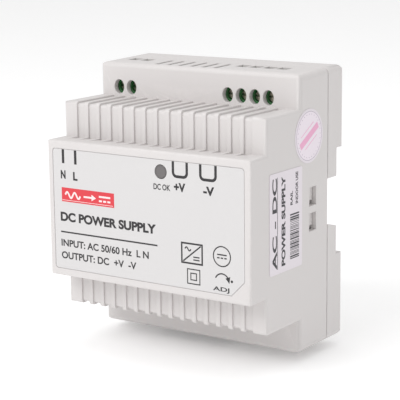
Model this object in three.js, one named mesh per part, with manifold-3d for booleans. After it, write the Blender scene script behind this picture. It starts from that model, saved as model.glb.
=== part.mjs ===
// A slim stepped power supply that clips on a 35 mm rail, as separate pieces.
//
// Lengths are in millimetres. X runs to the right, Y from the front panel to the rail, Z up.
// Every piece is placed in the case's own frame: X = 0 at the middle, Y = 0 at the front panel
// and Z = 0 at the case's bottom. The last group moves that frame so that the model's origin is
// the middle of the rail seat, on the rail's centre line.

import * as THREE from 'three';
import { mergeVertices } from 'three/addons/utils/BufferGeometryUtils.js';
import Module from 'manifold-3d';

const wasm = await Module();
wasm.setup();

// ---------------------------------------------------------------- driving dimensions

const CASE_HALF_WIDTH = 39;
const CASE_HEIGHT = 90;
const CASE_DEPTH = 56;
const WALL = 2;
const GAP = 0.1; // between pieces that rest on each other
const BEYOND = 1; // how far a cutting solid stands out of what it cuts

// The stepped front: three blocks, each further forward and lower than the one behind.
const STEP_1_FRONT = 29.2;
const STEP_2_FRONT = 9.3;
const STEP_2_MARGIN = 11; // from the case's bottom, and from its top
const PANEL_MARGIN = 22.5;
const STEP_1_RADIUS = 1.5;
const STEP_2_RADIUS = 1.0;
const PANEL_RADIUS = 1.0;
const LONG_EDGE_RADIUS = 2.2; // along the rear block, from the front to the rail
const REAR_RADIUS = 2.2; // along the top and bottom rear edges
const REAR_SIDE_RADIUS = 0.6;
const DRAFT = 0.026; // how much the rear block's top rises, per millimetre back
const ARC_SEGMENTS = 2; // per eighth of a turn

// The ribbed faces of the middle step.
const RIB_PITCH = 4.61;
const GROOVE_COUNT = 15;
const GROOVE_WIDTH = 3.0;
const GROOVE_DEPTH = 0.6;
const GROOVE_FOOT_DEPTH = 0.45;
const GROOVE_RUN_OUT = 5; // how far a groove's foot tapers out over the front block
const RIBBED_WALL = WALL + GROOVE_DEPTH;

// The label's recess in the front panel, and the status window in it.
const LABEL_HALF_WIDTH = 36.9;
const LABEL_BOTTOM = 25.0;
const LABEL_TOP = 64.9;
const LABEL_RADIUS = 1;
const LABEL_CORNER_CUT = 4.8;
const LABEL_RECESS = 0.3;
const LABEL_THICKNESS = 0.2;
const LABEL_CLEARANCE = 0.15;
const WINDOW_AT = { x: 6.2, z: 61.0 };
const WINDOW_RADIUS = 2.15;

// The seam between the front housing and the rear cover, and the rail pocket in the cover.
const SEAM = 46.4;
const SEAM_GROOVE = 0.4;
const RAIL_SEAT = 52.4;
const RAIL_CENTRE = 46.15;
const POCKET_BOTTOM = 28.5;
const POCKET_TOP = 63.8;
const CHANNEL_FLOOR = 46.3;
const CHANNEL_BOTTOM_AT_FLOOR = 39.5;
const CHANNEL_BOTTOM_AT_SEAT = 38.0;
const CHANNEL_TOP = 54.45;
const TOWER_HALF_WIDTH = 12;
const COVER_WALL = 1.8;
const COVER_INSIDE_HALF_WIDTH = 35.5;
const COVER_INSIDE_MARGIN = 3.5;
const LIP_HALF_WIDTH = 36.8;
const LIP_FRONT = 44.5;
const LIP_CLEARANCE = 0.2;
const POST_RADIUS = 2.6;
const POST_BORE_RADIUS = 1.2;
const POST_BORE_END = 52;

// The windows in the case's sides, where the cover's two snap arms catch.
const SNAP_FRONT = 34.9;
const SNAP_BACK = 39.3;
const SNAP_WINDOWS = [[39.2, 45.0], [47.4, 53.4]];
const BARB_BELOW_SIDE = 1.5;
const BARB_TOP_GAP = 0.5;
const BARB_BOTTOM_GAP = 1.4;

// The hooks and the sprung latch that hold the rail's two lips.
const LIP_SLOT = 1.35; // room for the rail's 1 mm lip behind the seat
const HOOK_OVERLAP = 1.4;
const HOOK_SPANS = [[-34, -16], [16, 34]];
const LATCH_HALF_WIDTH = 9.1;
const LATCH_SIDE_GAP = 0.3;
const LATCH_FOOT_BELOW = 3;
const LATCH_BACK = 55.7;
const LATCH_RECESS_FLOOR = 52.6;
const LATCH_RAIL_OUT = 1.5;
const LATCH_GUIDES = [53.3, 54.9]; // the grooves that the latch's two side rails run in
const LATCH_GUIDE_CLEARANCE = 0.15;
const LATCH_FOOT_FRONT = 50.6;
const LATCH_FOOT_CLEARANCE = 0.7;
const LATCH_TOOL_SLOT = [-2.3, -1.3];
const LATCH_WINDOW_HALF_WIDTH = 3.1;
const LATCH_STOP_BOTTOM = 8.4;
const LATCH_STOP_TOP = 11;
const LATCH_STOP_HALF_WIDTH = 2.8;
const LATCH_STOP_BACK = 55.5;
const LATCH_WINDOW_TOP = 24.2;
const SPRING_COIL_RADIUS = 1.15;
const SPRING_WIRE_RADIUS = 0.22;
const SPRING_TURNS = 8;

// The circuit board, and the terminals along its top edge.
const BOARD_FRONT = 41.8;
const BOARD_THICKNESS = 1.6;
const BOARD_BACK = BOARD_FRONT + BOARD_THICKNESS;
const BOARD_HALF_WIDTH = 34.5;
const BOARD_BOTTOM = 3;
const BOARD_TOP = 87;
const ON_BOARD = BOARD_FRONT - GAP / 2;
const BOARD_SCREWS = [[-31.5, 17], [31.5, 17], [-20.5, 82], [32.2, 82]];

const TERMINAL_PITCH = 5.08;
const INPUT_FIRST_X = -31.4;
const OUTPUT_FIRST_X = 12.0;
const TERMINAL_SCREW_Z = 81.9;
const TERMINAL_FRONT = 31.6;
const TERMINAL_BOTTOM = 76.2;
const TERMINAL_TOP = 87.3;
const SCREW_HEAD = [32.6, 34.3];
const SCREW_SHANK_END = 37.9;
const CAGE_TRAVEL_ROOM = 2.0;
const CHAMBER_FRONT = 35.1;
const CHAMBER_BACK = 41.3;
const TONGUE = [38.05, 38.4];
const LEAD_BEYOND = 0.8; // how far a lead stands out behind the board

// The ventilation slots, which stand over each other in the top and the bottom.
const VENT_COUNT = 6;
const VENT_FIRST_X = -17.2;
const VENT_WIDTH = 1.7;
const VENT_FRONT = 31.0;
const VENT_BACK = 41.0;
const ENTRY_WIDTH = 4.2;
const ENTRY_FRONT = 36.6;
const ENTRY_BACK = 41.6;

// The output voltage trimmer, and the hole for its screwdriver.
const TRIMMER_AT = { x: 28.6, z: 8 };
const TRIMMER_HALF = 3.3;
const TRIMMER_FRONT = 36.9;
const TRIMMER_ROTOR_RADIUS = 1.6;
const TRIMMER_HOLE_RADIUS = 1.7;

// ---------------------------------------------------------------- looks

const LOOKS = {
  housing: { color: 0xe0dddb, roughness: 0.5, metalness: 0 },
  latch: { color: 0xd9d6d2, roughness: 0.5, metalness: 0 },
  label: { color: 0xe6e5e6, roughness: 0.35, metalness: 0 },
  seal: { color: 0xe8dee8, roughness: 0.35, metalness: 0 },
  lens: { color: 0x87847f, roughness: 0.3, metalness: 0 },
  terminal: { color: 0x1e4628, roughness: 0.45, metalness: 0 },
  board: { color: 0x2f6b3c, roughness: 0.5, metalness: 0 },
  steel: { color: 0xb9b7b2, roughness: 0.35, metalness: 1 },
  tinned: { color: 0xc9c8c4, roughness: 0.3, metalness: 1 },
  aluminium: { color: 0xb4b6b8, roughness: 0.4, metalness: 1 },
  copper: { color: 0xb4703c, roughness: 0.4, metalness: 1 },
  ferrite: { color: 0x3a3a3c, roughness: 0.7, metalness: 0 },
  epoxy: { color: 0x1c1c1e, roughness: 0.6, metalness: 0 },
  sleeve: { color: 0x20283a, roughness: 0.35, metalness: 0 },
  film: { color: 0xd8b43a, roughness: 0.4, metalness: 0 },
  disc: { color: 0x2c5fa8, roughness: 0.5, metalness: 0 },
  led: { color: 0xa9c7a0, roughness: 0.2, metalness: 0 },
};

// ---------------------------------------------------------------- solids

function toSolid(geometry) {
  const bare = geometry.clone();
  bare.deleteAttribute('normal');
  bare.deleteAttribute('uv');
  const merged = mergeVertices(bare, 1e-5);
  const triVerts = new Uint32Array(merged.index.array);
  const vertProperties = new Float32Array(merged.attributes.position.array);
  return new wasm.Manifold(new wasm.Mesh({ numProp: 3, vertProperties, triVerts }));
}

function toGeometry(solid) {
  const mesh = solid.getMesh();
  const geometry = new THREE.BufferGeometry();
  geometry.setAttribute('position', new THREE.BufferAttribute(mesh.vertProperties, 3));
  geometry.setIndex(new THREE.BufferAttribute(mesh.triVerts, 1));
  geometry.computeVertexNormals();
  return geometry;
}

function box([x0, x1], [y0, y1], [z0, z1]) {
  const geometry = new THREE.BoxGeometry(x1 - x0, y1 - y0, z1 - z0);
  geometry.translate((x0 + x1) / 2, (y0 + y1) / 2, (z0 + z1) / 2);
  return toSolid(geometry);
}

// A round bar along Y, from y0 to y1.
function barY(x, z, radius, [y0, y1], sides = 24) {
  const geometry = new THREE.CylinderGeometry(radius, radius, y1 - y0, sides);
  geometry.translate(x, (y0 + y1) / 2, z);
  return toSolid(geometry);
}

// A shape in Y and Z, drawn out along X.
function prismX(shape, [x0, x1], arcSegments = ARC_SEGMENTS) {
  const geometry = extrude(shape, x1 - x0, arcSegments);
  const alongX = new THREE.Matrix4().set(0, 0, 1, x0, 1, 0, 0, 0, 0, 1, 0, 0, 0, 0, 0, 1);
  geometry.applyMatrix4(alongX);
  return toSolid(geometry);
}

// A shape in X and Z, drawn out along Y.
function prismY(shape, [y0, y1]) {
  const geometry = extrude(shape, y1 - y0);
  geometry.rotateX(Math.PI / 2);
  geometry.translate(0, y1, 0);
  return toSolid(geometry);
}

// A shape in X and Y, drawn out along Z.
function prismZ(shape, [z0, z1]) {
  const geometry = extrude(shape, z1 - z0);
  geometry.translate(0, 0, z0);
  return toSolid(geometry);
}

function extrude(shape, depth, arcSegments = ARC_SEGMENTS) {
  return new THREE.ExtrudeGeometry(shape, { depth, bevelEnabled: false, curveSegments: arcSegments });
}

function outline(points) {
  return new THREE.Shape(points.map(([a, b]) => new THREE.Vector2(a, b)));
}

// A rectangle with its corners rounded. Four radii go round from its lowest corner: (a0, b0),
// (a1, b0), (a1, b1), (a0, b1).
function roundedRectangle([a0, a1], [b0, b1], radii) {
  const [r00, r10, r11, r01] = Array.isArray(radii) ? radii : [radii, radii, radii, radii];
  const shape = new THREE.Shape();
  shape.moveTo(a0 + r00, b0);
  shape.lineTo(a1 - r10, b0);
  if (r10 > 0) shape.absarc(a1 - r10, b0 + r10, r10, -Math.PI / 2, 0);
  shape.lineTo(a1, b1 - r11);
  if (r11 > 0) shape.absarc(a1 - r11, b1 - r11, r11, 0, Math.PI / 2);
  shape.lineTo(a0 + r01, b1);
  if (r01 > 0) shape.absarc(a0 + r01, b1 - r01, r01, Math.PI / 2, Math.PI);
  shape.lineTo(a0, b0 + r00);
  if (r00 > 0) shape.absarc(a0 + r00, b0 + r00, r00, Math.PI, Math.PI * 1.5);
  return shape;
}

// A block of the case: rounded along its four long edges, round its front face, and along the
// upright (rearSide) and level (rear) edges of its rear face.
function caseBlock([y0, y1], [z0, z1], { long, front = 0, rear = 0, rearSide = 0 }) {
  const xs = [-CASE_HALF_WIDTH, CASE_HALF_WIDTH];
  const along = prismY(roundedRectangle(xs, [z0, z1], long), [y0, y1]);
  const plan = prismZ(roundedRectangle(xs, [y0, y1], [front, front, rearSide, rearSide]), [z0, z1]);
  const profile = prismX(roundedRectangle([y0, y1], [z0, z1], [front, rear, rear, front]), xs);
  return along.intersect(plan).intersect(profile);
}

// The rear block grows taller towards the rail, as the mould's draft makes it.
function drafted(block) {
  const { vertProperties, triVerts } = block.getMesh();
  const moved = vertProperties.slice();
  for (let i = 0; i < moved.length; i += 3) {
    const behind = Math.max(0, moved[i + 1] - STEP_1_FRONT);
    moved[i + 2] += (moved[i + 2] / CASE_HEIGHT) * behind * DRAFT;
  }
  return new wasm.Manifold(new wasm.Mesh({ numProp: 3, vertProperties: moved, triVerts }));
}

function joined(solids) {
  return solids.reduce((all, solid) => all.add(solid));
}

function cutFrom(body, solids) {
  return solids.reduce((rest, solid) => rest.subtract(solid), body);
}

const bothSides = (span) => [span, [-span[1], -span[0]]];
const around = (centre, half) => [centre - half, centre + half];

// ---------------------------------------------------------------- front housing

const supply = new THREE.Group();

function addPiece(name, solid, look) {
  const mesh = new THREE.Mesh(toGeometry(solid), new THREE.MeshStandardMaterial(LOOKS[look]));
  mesh.name = name;
  supply.add(mesh);
}

function steppedOutside() {
  const embedded = 3; // how far each block reaches into the one behind
  const rear = caseBlock(
    [STEP_1_FRONT, SEAM], [0, CASE_HEIGHT], { long: LONG_EDGE_RADIUS, front: STEP_1_RADIUS },
  );
  const middle = caseBlock(
    [STEP_2_FRONT, STEP_1_FRONT + embedded], [STEP_2_MARGIN, CASE_HEIGHT - STEP_2_MARGIN],
    { long: STEP_2_RADIUS, front: STEP_2_RADIUS },
  );
  const panel = caseBlock(
    [0, STEP_2_FRONT + embedded], [PANEL_MARGIN, CASE_HEIGHT - PANEL_MARGIN],
    { long: PANEL_RADIUS, front: PANEL_RADIUS },
  );
  return joined([drafted(rear), middle, panel]);
}

function steppedInside() {
  const xs = around(0, CASE_HALF_WIDTH - WALL);
  const overlap = 0.5;
  const rear = box(xs, [STEP_1_FRONT + WALL, SEAM + BEYOND], [WALL, CASE_HEIGHT - WALL]);
  const ribbedMargin = STEP_2_MARGIN + RIBBED_WALL;
  const middle = box(
    xs, [STEP_2_FRONT + RIBBED_WALL, STEP_1_FRONT + WALL + overlap],
    [ribbedMargin, CASE_HEIGHT - ribbedMargin],
  );
  const panelMargin = PANEL_MARGIN + WALL;
  const panel = box(
    xs, [WALL, STEP_2_FRONT + RIBBED_WALL + overlap], [panelMargin, CASE_HEIGHT - panelMargin],
  );
  return joined([rear, middle, panel]);
}

// One groove's side view: up the middle step's front, over its edge and back to the rear block.
function grooveProfile() {
  const floor = STEP_2_FRONT + GROOVE_DEPTH;
  const shelf = CASE_HEIGHT - PANEL_MARGIN;
  const top = CASE_HEIGHT - STEP_2_MARGIN;
  const shape = new THREE.Shape();
  shape.moveTo(STEP_2_FRONT - GROOVE_RUN_OUT, shelf);
  shape.lineTo(floor, shelf - GROOVE_FOOT_DEPTH);
  shape.lineTo(floor, top - GROOVE_DEPTH - STEP_2_RADIUS);
  shape.absarc(floor + STEP_2_RADIUS, top - GROOVE_DEPTH - STEP_2_RADIUS, STEP_2_RADIUS,
    Math.PI, Math.PI / 2, true);
  shape.lineTo(STEP_1_FRONT, top - GROOVE_DEPTH);
  shape.lineTo(STEP_1_FRONT, top + BEYOND);
  shape.lineTo(STEP_2_FRONT - BEYOND, top + BEYOND);
  shape.lineTo(STEP_2_FRONT - BEYOND, shelf + BEYOND);
  shape.lineTo(STEP_2_FRONT - GROOVE_RUN_OUT, shelf + BEYOND);
  return shape;
}

function grooves() {
  const firstCentre = -RIB_PITCH * (GROOVE_COUNT - 1) / 2;
  const cuts = [];
  for (let i = 0; i < GROOVE_COUNT; i += 1) {
    const upper = prismX(grooveProfile(), around(firstCentre + i * RIB_PITCH, GROOVE_WIDTH / 2));
    const lower = upper.mirror([0, 0, 1]).translate([0, 0, CASE_HEIGHT]);
    cuts.push(upper, lower);
  }
  return joined(cuts);
}

function labelShape(inset) {
  const x0 = -LABEL_HALF_WIDTH + inset;
  const x1 = LABEL_HALF_WIDTH - inset;
  const z0 = LABEL_BOTTOM + inset;
  const z1 = LABEL_TOP - inset;
  const r = LABEL_RADIUS;
  const shape = new THREE.Shape();
  shape.moveTo(x0 + r, z0);
  shape.lineTo(x1 - LABEL_CORNER_CUT, z0);
  shape.lineTo(x1, z0 + LABEL_CORNER_CUT);
  shape.lineTo(x1, z1 - r);
  shape.absarc(x1 - r, z1 - r, r, 0, Math.PI / 2);
  shape.lineTo(x0 + r, z1);
  shape.absarc(x0 + r, z1 - r, r, Math.PI / 2, Math.PI);
  shape.lineTo(x0, z0 + r);
  shape.absarc(x0 + r, z0 + r, r, Math.PI, Math.PI * 1.5);
  return shape;
}

const INPUT_POLES = [
  { name: 'line_neutral', x: INPUT_FIRST_X },
  { name: 'line_live', x: INPUT_FIRST_X + TERMINAL_PITCH },
];
const OUTPUT_POLES = ['plus_1', 'plus_2', 'minus_1', 'minus_2'].map((name, i) => (
  { name, x: OUTPUT_FIRST_X + i * TERMINAL_PITCH }));
const POLES = [...INPUT_POLES, ...OUTPUT_POLES];

function screwAccessHole(x) {
  const geometry = new THREE.CylinderGeometry(1, 1, WALL + 2 * BEYOND, 24);
  geometry.scale(2.0, 1, 2.4);
  geometry.translate(x, STEP_1_FRONT + WALL / 2, TERMINAL_SCREW_Z);
  return toSolid(geometry);
}

function wireEntry(x) {
  return box(
    around(x, ENTRY_WIDTH / 2), [ENTRY_FRONT, ENTRY_BACK],
    [CASE_HEIGHT - WALL - BEYOND, CASE_HEIGHT + BEYOND],
  );
}

function vents() {
  const cuts = [];
  for (let i = 0; i < VENT_COUNT; i += 1) {
    const xs = around(VENT_FIRST_X + i * RIB_PITCH, VENT_WIDTH / 2);
    cuts.push(box(xs, [VENT_FRONT, VENT_BACK], [CASE_HEIGHT - WALL - BEYOND, CASE_HEIGHT + BEYOND]));
    cuts.push(box(xs, [VENT_FRONT, VENT_BACK], [-BEYOND, WALL + BEYOND]));
  }
  return cuts;
}

function snapWindows() {
  const wall = [CASE_HALF_WIDTH - WALL - BEYOND, CASE_HALF_WIDTH + BEYOND];
  return bothSides(wall).flatMap((xs) => SNAP_WINDOWS.map((zs) => box(xs, [SNAP_FRONT, SNAP_BACK], zs)));
}

function frontHousing() {
  const shell = steppedOutside().subtract(steppedInside()).subtract(grooves());
  return cutFrom(shell, [
    prismY(labelShape(0), [-BEYOND, LABEL_RECESS]),
    barY(WINDOW_AT.x, WINDOW_AT.z, WINDOW_RADIUS + LABEL_CLEARANCE, [-BEYOND, WALL + BEYOND], 32),
    ...POLES.map(({ x }) => screwAccessHole(x)),
    ...POLES.map(({ x }) => wireEntry(x)),
    ...vents(),
    ...snapWindows(),
    barY(TRIMMER_AT.x, TRIMMER_AT.z, TRIMMER_HOLE_RADIUS,
      [STEP_1_FRONT - BEYOND, STEP_1_FRONT + WALL + BEYOND]),
  ]);
}

// ---------------------------------------------------------------- rear cover

function channelCut([x0, x1]) {
  const back = RAIL_SEAT + BEYOND;
  const slope = (CHANNEL_BOTTOM_AT_FLOOR - CHANNEL_BOTTOM_AT_SEAT) / (RAIL_SEAT - CHANNEL_FLOOR);
  return prismX(outline([
    [CHANNEL_FLOOR, CHANNEL_BOTTOM_AT_FLOOR],
    [back, CHANNEL_BOTTOM_AT_SEAT - slope * BEYOND],
    [back, CHANNEL_TOP],
    [CHANNEL_FLOOR, CHANNEL_TOP],
  ]), [x0, x1]);
}

function coverOutside() {
  const wide = CASE_HALF_WIDTH + BEYOND;
  const shell = caseBlock(
    [SEAM + SEAM_GROOVE, CASE_DEPTH], [0, CASE_HEIGHT],
    { long: LONG_EDGE_RADIUS, rear: REAR_RADIUS, rearSide: REAR_SIDE_RADIUS },
  );
  const lip = box(
    around(0, LIP_HALF_WIDTH), [LIP_FRONT, SEAM + SEAM_GROOVE + BEYOND],
    [WALL + LIP_CLEARANCE, CASE_HEIGHT - WALL - LIP_CLEARANCE],
  );
  return cutFrom(drafted(shell).add(lip), [
    box(around(0, wide), [RAIL_SEAT, CASE_DEPTH + BEYOND], [POCKET_BOTTOM, POCKET_TOP]),
    ...bothSides([TOWER_HALF_WIDTH, wide]).map(channelCut),
  ]);
}

function coverInside() {
  const back = CASE_DEPTH - COVER_WALL;
  const seat = RAIL_SEAT - COVER_WALL;
  const bottom = POCKET_BOTTOM - COVER_WALL;
  const top = POCKET_TOP + COVER_WALL;
  const hollow = prismX(outline([
    [LIP_FRONT - BEYOND, COVER_INSIDE_MARGIN],
    [back, COVER_INSIDE_MARGIN],
    [back, bottom],
    [seat, bottom],
    [seat, CHANNEL_BOTTOM_AT_SEAT - COVER_WALL],
    [LIP_FRONT, CHANNEL_BOTTOM_AT_FLOOR - COVER_WALL],
    [LIP_FRONT, CHANNEL_TOP + COVER_WALL],
    [seat, CHANNEL_TOP + COVER_WALL],
    [seat, top],
    [back, top],
    [back, CASE_HEIGHT - COVER_INSIDE_MARGIN],
    [LIP_FRONT - BEYOND, CASE_HEIGHT - COVER_INSIDE_MARGIN],
  ]), around(0, COVER_INSIDE_HALF_WIDTH));
  const latchWall = box(
    around(0, LATCH_HALF_WIDTH + LATCH_SIDE_GAP + LATCH_RAIL_OUT + COVER_WALL),
    [LATCH_RECESS_FLOOR - COVER_WALL, CASE_DEPTH], [0, POCKET_BOTTOM],
  );
  const towerHollow = box(
    around(0, TOWER_HALF_WIDTH - COVER_WALL), [LIP_FRONT - BEYOND, seat],
    [CHANNEL_BOTTOM_AT_SEAT, CHANNEL_TOP],
  );
  return hollow.subtract(latchWall).add(towerHollow);
}

function latchRecess() {
  const half = LATCH_HALF_WIDTH + LATCH_SIDE_GAP;
  const zs = [-BEYOND, POCKET_BOTTOM + BEYOND];
  const slot = box(around(0, half), [LATCH_RECESS_FLOOR, CASE_DEPTH + BEYOND], zs);
  const guides = box(around(0, half + LATCH_RAIL_OUT), LATCH_GUIDES, [-BEYOND, POCKET_BOTTOM - BEYOND]);
  return slot.add(guides);
}

function railHook(span) {
  const inner = RAIL_SEAT + LIP_SLOT;
  const tip = POCKET_TOP - HOOK_OVERLAP;
  const chamfer = 0.4;
  return prismX(outline([
    [inner, POCKET_TOP + GAP],
    [inner, tip + chamfer],
    [inner + chamfer, tip],
    [CASE_DEPTH - chamfer, tip],
    [CASE_DEPTH, tip + chamfer],
    [CASE_DEPTH, POCKET_TOP + GAP],
  ]), span);
}

// A springy arm along the case's side with a ramped barb for each window.
function snapArms() {
  const clear = 0.25;
  const ramp = 1.0;
  const inside = COVER_INSIDE_HALF_WIDTH;
  const outside = LIP_HALF_WIDTH - GAP / 2;
  const barbTip = CASE_HALF_WIDTH - BARB_BELOW_SIDE;
  const armZ = [SNAP_WINDOWS[0][0] + clear, SNAP_WINDOWS[1][1] - clear];
  const arm = box([inside, outside], [SNAP_FRONT - ramp, SEAM], armZ);
  const barb = outline([
    [outside - GAP, SNAP_FRONT + ramp - clear],
    [barbTip, SNAP_FRONT + 2 * ramp - clear],
    [barbTip, SNAP_BACK - clear],
    [outside - GAP, SNAP_BACK - clear],
  ]);
  const barbs = SNAP_WINDOWS.map(([z0, z1]) => prismZ(barb, [z0 + BARB_BOTTOM_GAP, z1 - BARB_TOP_GAP]));
  const right = joined([arm, ...barbs]);
  return [right, right.mirror([1, 0, 0])];
}

function boardPosts() {
  const ys = [BOARD_BACK + GAP, CASE_DEPTH - WALL / 2];
  return BOARD_SCREWS.map(([x, z]) => barY(x, z, POST_RADIUS, ys, 16));
}

function rearCover() {
  const shell = coverOutside().subtract(coverInside());
  const stop = box(
    around(0, LATCH_STOP_HALF_WIDTH), [LATCH_RECESS_FLOOR - GAP, LATCH_STOP_BACK],
    [LATCH_STOP_BOTTOM, LATCH_STOP_TOP],
  );
  const bore = [BOARD_BACK - GAP, POST_BORE_END];
  const solid = joined([
    shell.subtract(latchRecess()),
    stop,
    ...HOOK_SPANS.map(railHook),
    ...snapArms(),
    ...boardPosts(),
  ]);
  return cutFrom(solid, BOARD_SCREWS.map(([x, z]) => barY(x, z, POST_BORE_RADIUS, bore, 12)));
}

// ---------------------------------------------------------------- rail latch and its spring

function railLatch() {
  const front = LATCH_RECESS_FLOOR + LATCH_GUIDE_CLEARANCE;
  const noseFront = RAIL_SEAT + LIP_SLOT;
  const noseTop = POCKET_BOTTOM + HOOK_OVERLAP;
  const plateTop = POCKET_BOTTOM - 0.2;
  const chamfer = 0.6;
  const profile = prismX(outline([
    [LATCH_FOOT_FRONT, -LATCH_FOOT_BELOW],
    [LATCH_BACK - chamfer, -LATCH_FOOT_BELOW],
    [LATCH_BACK, -LATCH_FOOT_BELOW + chamfer],
    [LATCH_BACK, plateTop],
    [noseFront + chamfer / 2, noseTop],
    [noseFront, noseTop],
    [noseFront, plateTop],
    [front, plateTop],
    [front, -LATCH_FOOT_CLEARANCE],
    [LATCH_FOOT_FRONT, -LATCH_FOOT_CLEARANCE],
  ]), around(0, LATCH_HALF_WIDTH));
  const guideY = [LATCH_GUIDES[0] + LATCH_GUIDE_CLEARANCE, LATCH_GUIDES[1] - LATCH_GUIDE_CLEARANCE];
  const guideX = [LATCH_HALF_WIDTH - GAP, LATCH_HALF_WIDTH + LATCH_RAIL_OUT - GAP];
  const guides = bothSides(guideX).map((xs) => box(xs, guideY, [1, LATCH_WINDOW_TOP]));
  const through = [LATCH_FOOT_FRONT - BEYOND, LATCH_BACK + BEYOND];
  const windowX = around(0, LATCH_WINDOW_HALF_WIDTH);
  const window = box(windowX, through, [LATCH_STOP_BOTTOM - 2 * GAP, LATCH_WINDOW_TOP]);
  const toolSlot = box(windowX, through, LATCH_TOOL_SLOT);
  return cutFrom(joined([profile, ...guides]), [window, toolSlot]);
}

// A round wire wound along Z, between the cover's stop and the top of the latch's window.
class Helix extends THREE.Curve {
  constructor(radius, bottom, height, turns) {
    super();
    Object.assign(this, { radius, bottom, height, turns });
  }

  getPoint(t, target = new THREE.Vector3()) {
    const angle = 2 * Math.PI * this.turns * t;
    const y = (LATCH_RECESS_FLOOR + LATCH_BACK) / 2;
    return target.set(
      this.radius * Math.cos(angle), y + this.radius * Math.sin(angle), this.bottom + this.height * t,
    );
  }
}

function latchSpring() {
  const bottom = LATCH_STOP_TOP + SPRING_WIRE_RADIUS + GAP;
  const top = LATCH_WINDOW_TOP - SPRING_WIRE_RADIUS - GAP;
  const wire = new THREE.Shape();
  wire.absarc(0, 0, SPRING_WIRE_RADIUS, 0, 2 * Math.PI);
  const extrudePath = new Helix(SPRING_COIL_RADIUS, bottom, top - bottom, SPRING_TURNS);
  const options = { steps: SPRING_TURNS * 10, bevelEnabled: false, curveSegments: 3, extrudePath };
  return toSolid(new THREE.ExtrudeGeometry(wire, options));
}

// ---------------------------------------------------------------- labels and the status window

function frontLabel() {
  const back = LABEL_RECESS - GAP / 5;
  const sheet = prismY(labelShape(LABEL_CLEARANCE), [back - LABEL_THICKNESS, back]);
  const hole = barY(WINDOW_AT.x, WINDOW_AT.z, WINDOW_RADIUS + LABEL_CLEARANCE, [-BEYOND, WALL], 32);
  return sheet.subtract(hole);
}

// Both stickers lie flat on the case's right side.
const STICKER_X = [CASE_HALF_WIDTH + 0.03, CASE_HALF_WIDTH + 0.18];

function ratingSticker() {
  return prismX(roundedRectangle([10.7, 30.1], [29.5, 61.3], 0.8), STICKER_X);
}

function roundSticker() {
  const radius = 8.6;
  const geometry = new THREE.CylinderGeometry(radius, radius, STICKER_X[1] - STICKER_X[0], 48);
  geometry.rotateZ(Math.PI / 2);
  geometry.translate((STICKER_X[0] + STICKER_X[1]) / 2, 34.4, 70.1);
  return toSolid(geometry);
}

function statusWindow() {
  const { x, z } = WINDOW_AT;
  const face = barY(x, z, WINDOW_RADIUS, [GAP, WALL + 0.5], 32);
  return face.add(barY(x, z, WINDOW_RADIUS + 0.8, [WALL + GAP, WALL + 1], 32));
}

const LED = { radius: 2.4, flange: 2.8, domeCentre: 5.7, flangeFront: 8, back: 9 };

function statusLed() {
  const { x, z } = WINDOW_AT;
  const dome = new THREE.SphereGeometry(LED.radius, 16, 8);
  dome.translate(x, LED.domeCentre, z);
  return joined([
    toSolid(dome),
    barY(x, z, LED.radius, [LED.domeCentre, LED.back], 16),
    barY(x, z, LED.flange, [LED.flangeFront, LED.back], 16),
  ]);
}

function ledSpacer() {
  const { x, z } = WINDOW_AT;
  const tube = barY(x, z, 2.6, [LED.back + GAP, ON_BOARD], 16);
  return tube.subtract(barY(x, z, 1.4, [LED.back - BEYOND, BOARD_FRONT + BEYOND], 16));
}

// ---------------------------------------------------------------- terminals

function terminalBlock(poles) {
  const half = TERMINAL_PITCH / 2;
  const xs = [poles[0].x - half, poles[poles.length - 1].x + half];
  const body = box(xs, [TERMINAL_FRONT, ON_BOARD], [TERMINAL_BOTTOM, TERMINAL_TOP]);
  const headSeat = SCREW_HEAD[1] + GAP;
  const chamberZ = [TERMINAL_BOTTOM + 1.1, TERMINAL_TOP - 2.6];
  const entryY = [CHAMBER_FRONT + 2.7, CHAMBER_BACK - 0.4];
  return cutFrom(body, poles.flatMap(({ x }) => [
    barY(x, TERMINAL_SCREW_Z, 1.95, [TERMINAL_FRONT - BEYOND, headSeat]),
    barY(x, TERMINAL_SCREW_Z, 1.4, [headSeat - GAP, CHAMBER_FRONT + GAP], 16),
    box(around(x, 2.0), [CHAMBER_FRONT, CHAMBER_BACK], chamberZ),
    box(around(x, 1.9), entryY, [chamberZ[1] - GAP, TERMINAL_TOP + BEYOND]),
    box(around(x, 0.7), [CHAMBER_BACK - GAP, BOARD_FRONT + BEYOND], [chamberZ[0], chamberZ[0] + 1.2]),
  ]));
}

function terminalScrew(x) {
  const [headFront, headBack] = SCREW_HEAD;
  const slotDepth = 0.8;
  const head = barY(x, TERMINAL_SCREW_Z, 1.75, SCREW_HEAD, 20);
  const shank = barY(x, TERMINAL_SCREW_Z, 1.2, [headBack - GAP, SCREW_SHANK_END], 16);
  const slotY = [headFront - BEYOND, headFront + slotDepth];
  const slot = box(around(x, 2), slotY, around(TERMINAL_SCREW_Z, 0.3));
  return head.add(shank).subtract(slot);
}

// The screw draws this ring forward, and its back bar presses the wire on the contact tongue.
function clampCage(x) {
  const front = CHAMBER_FRONT + CAGE_TRAVEL_ROOM;
  const back = CHAMBER_BACK - GAP;
  const wall = 0.85;
  const ring = box(around(x, 1.85), [front, back], [79.6, 84.2]);
  return cutFrom(ring, [
    box(around(x, 1.25), [front + wall, back - wall], [79, 85]),
    barY(x, TERMINAL_SCREW_Z, 1.3, [front - BEYOND, front + BEYOND], 16),
  ]);
}

function contactTongue(x) {
  const tongue = box(around(x, 1.0), TONGUE, [77.6, 84.4]);
  const leg = box(around(x, 0.45), [TONGUE[0], BOARD_BACK + LEAD_BEYOND], [77.6, 78.2]);
  return tongue.add(leg);
}

// ---------------------------------------------------------------- circuit board and its parts

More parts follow.
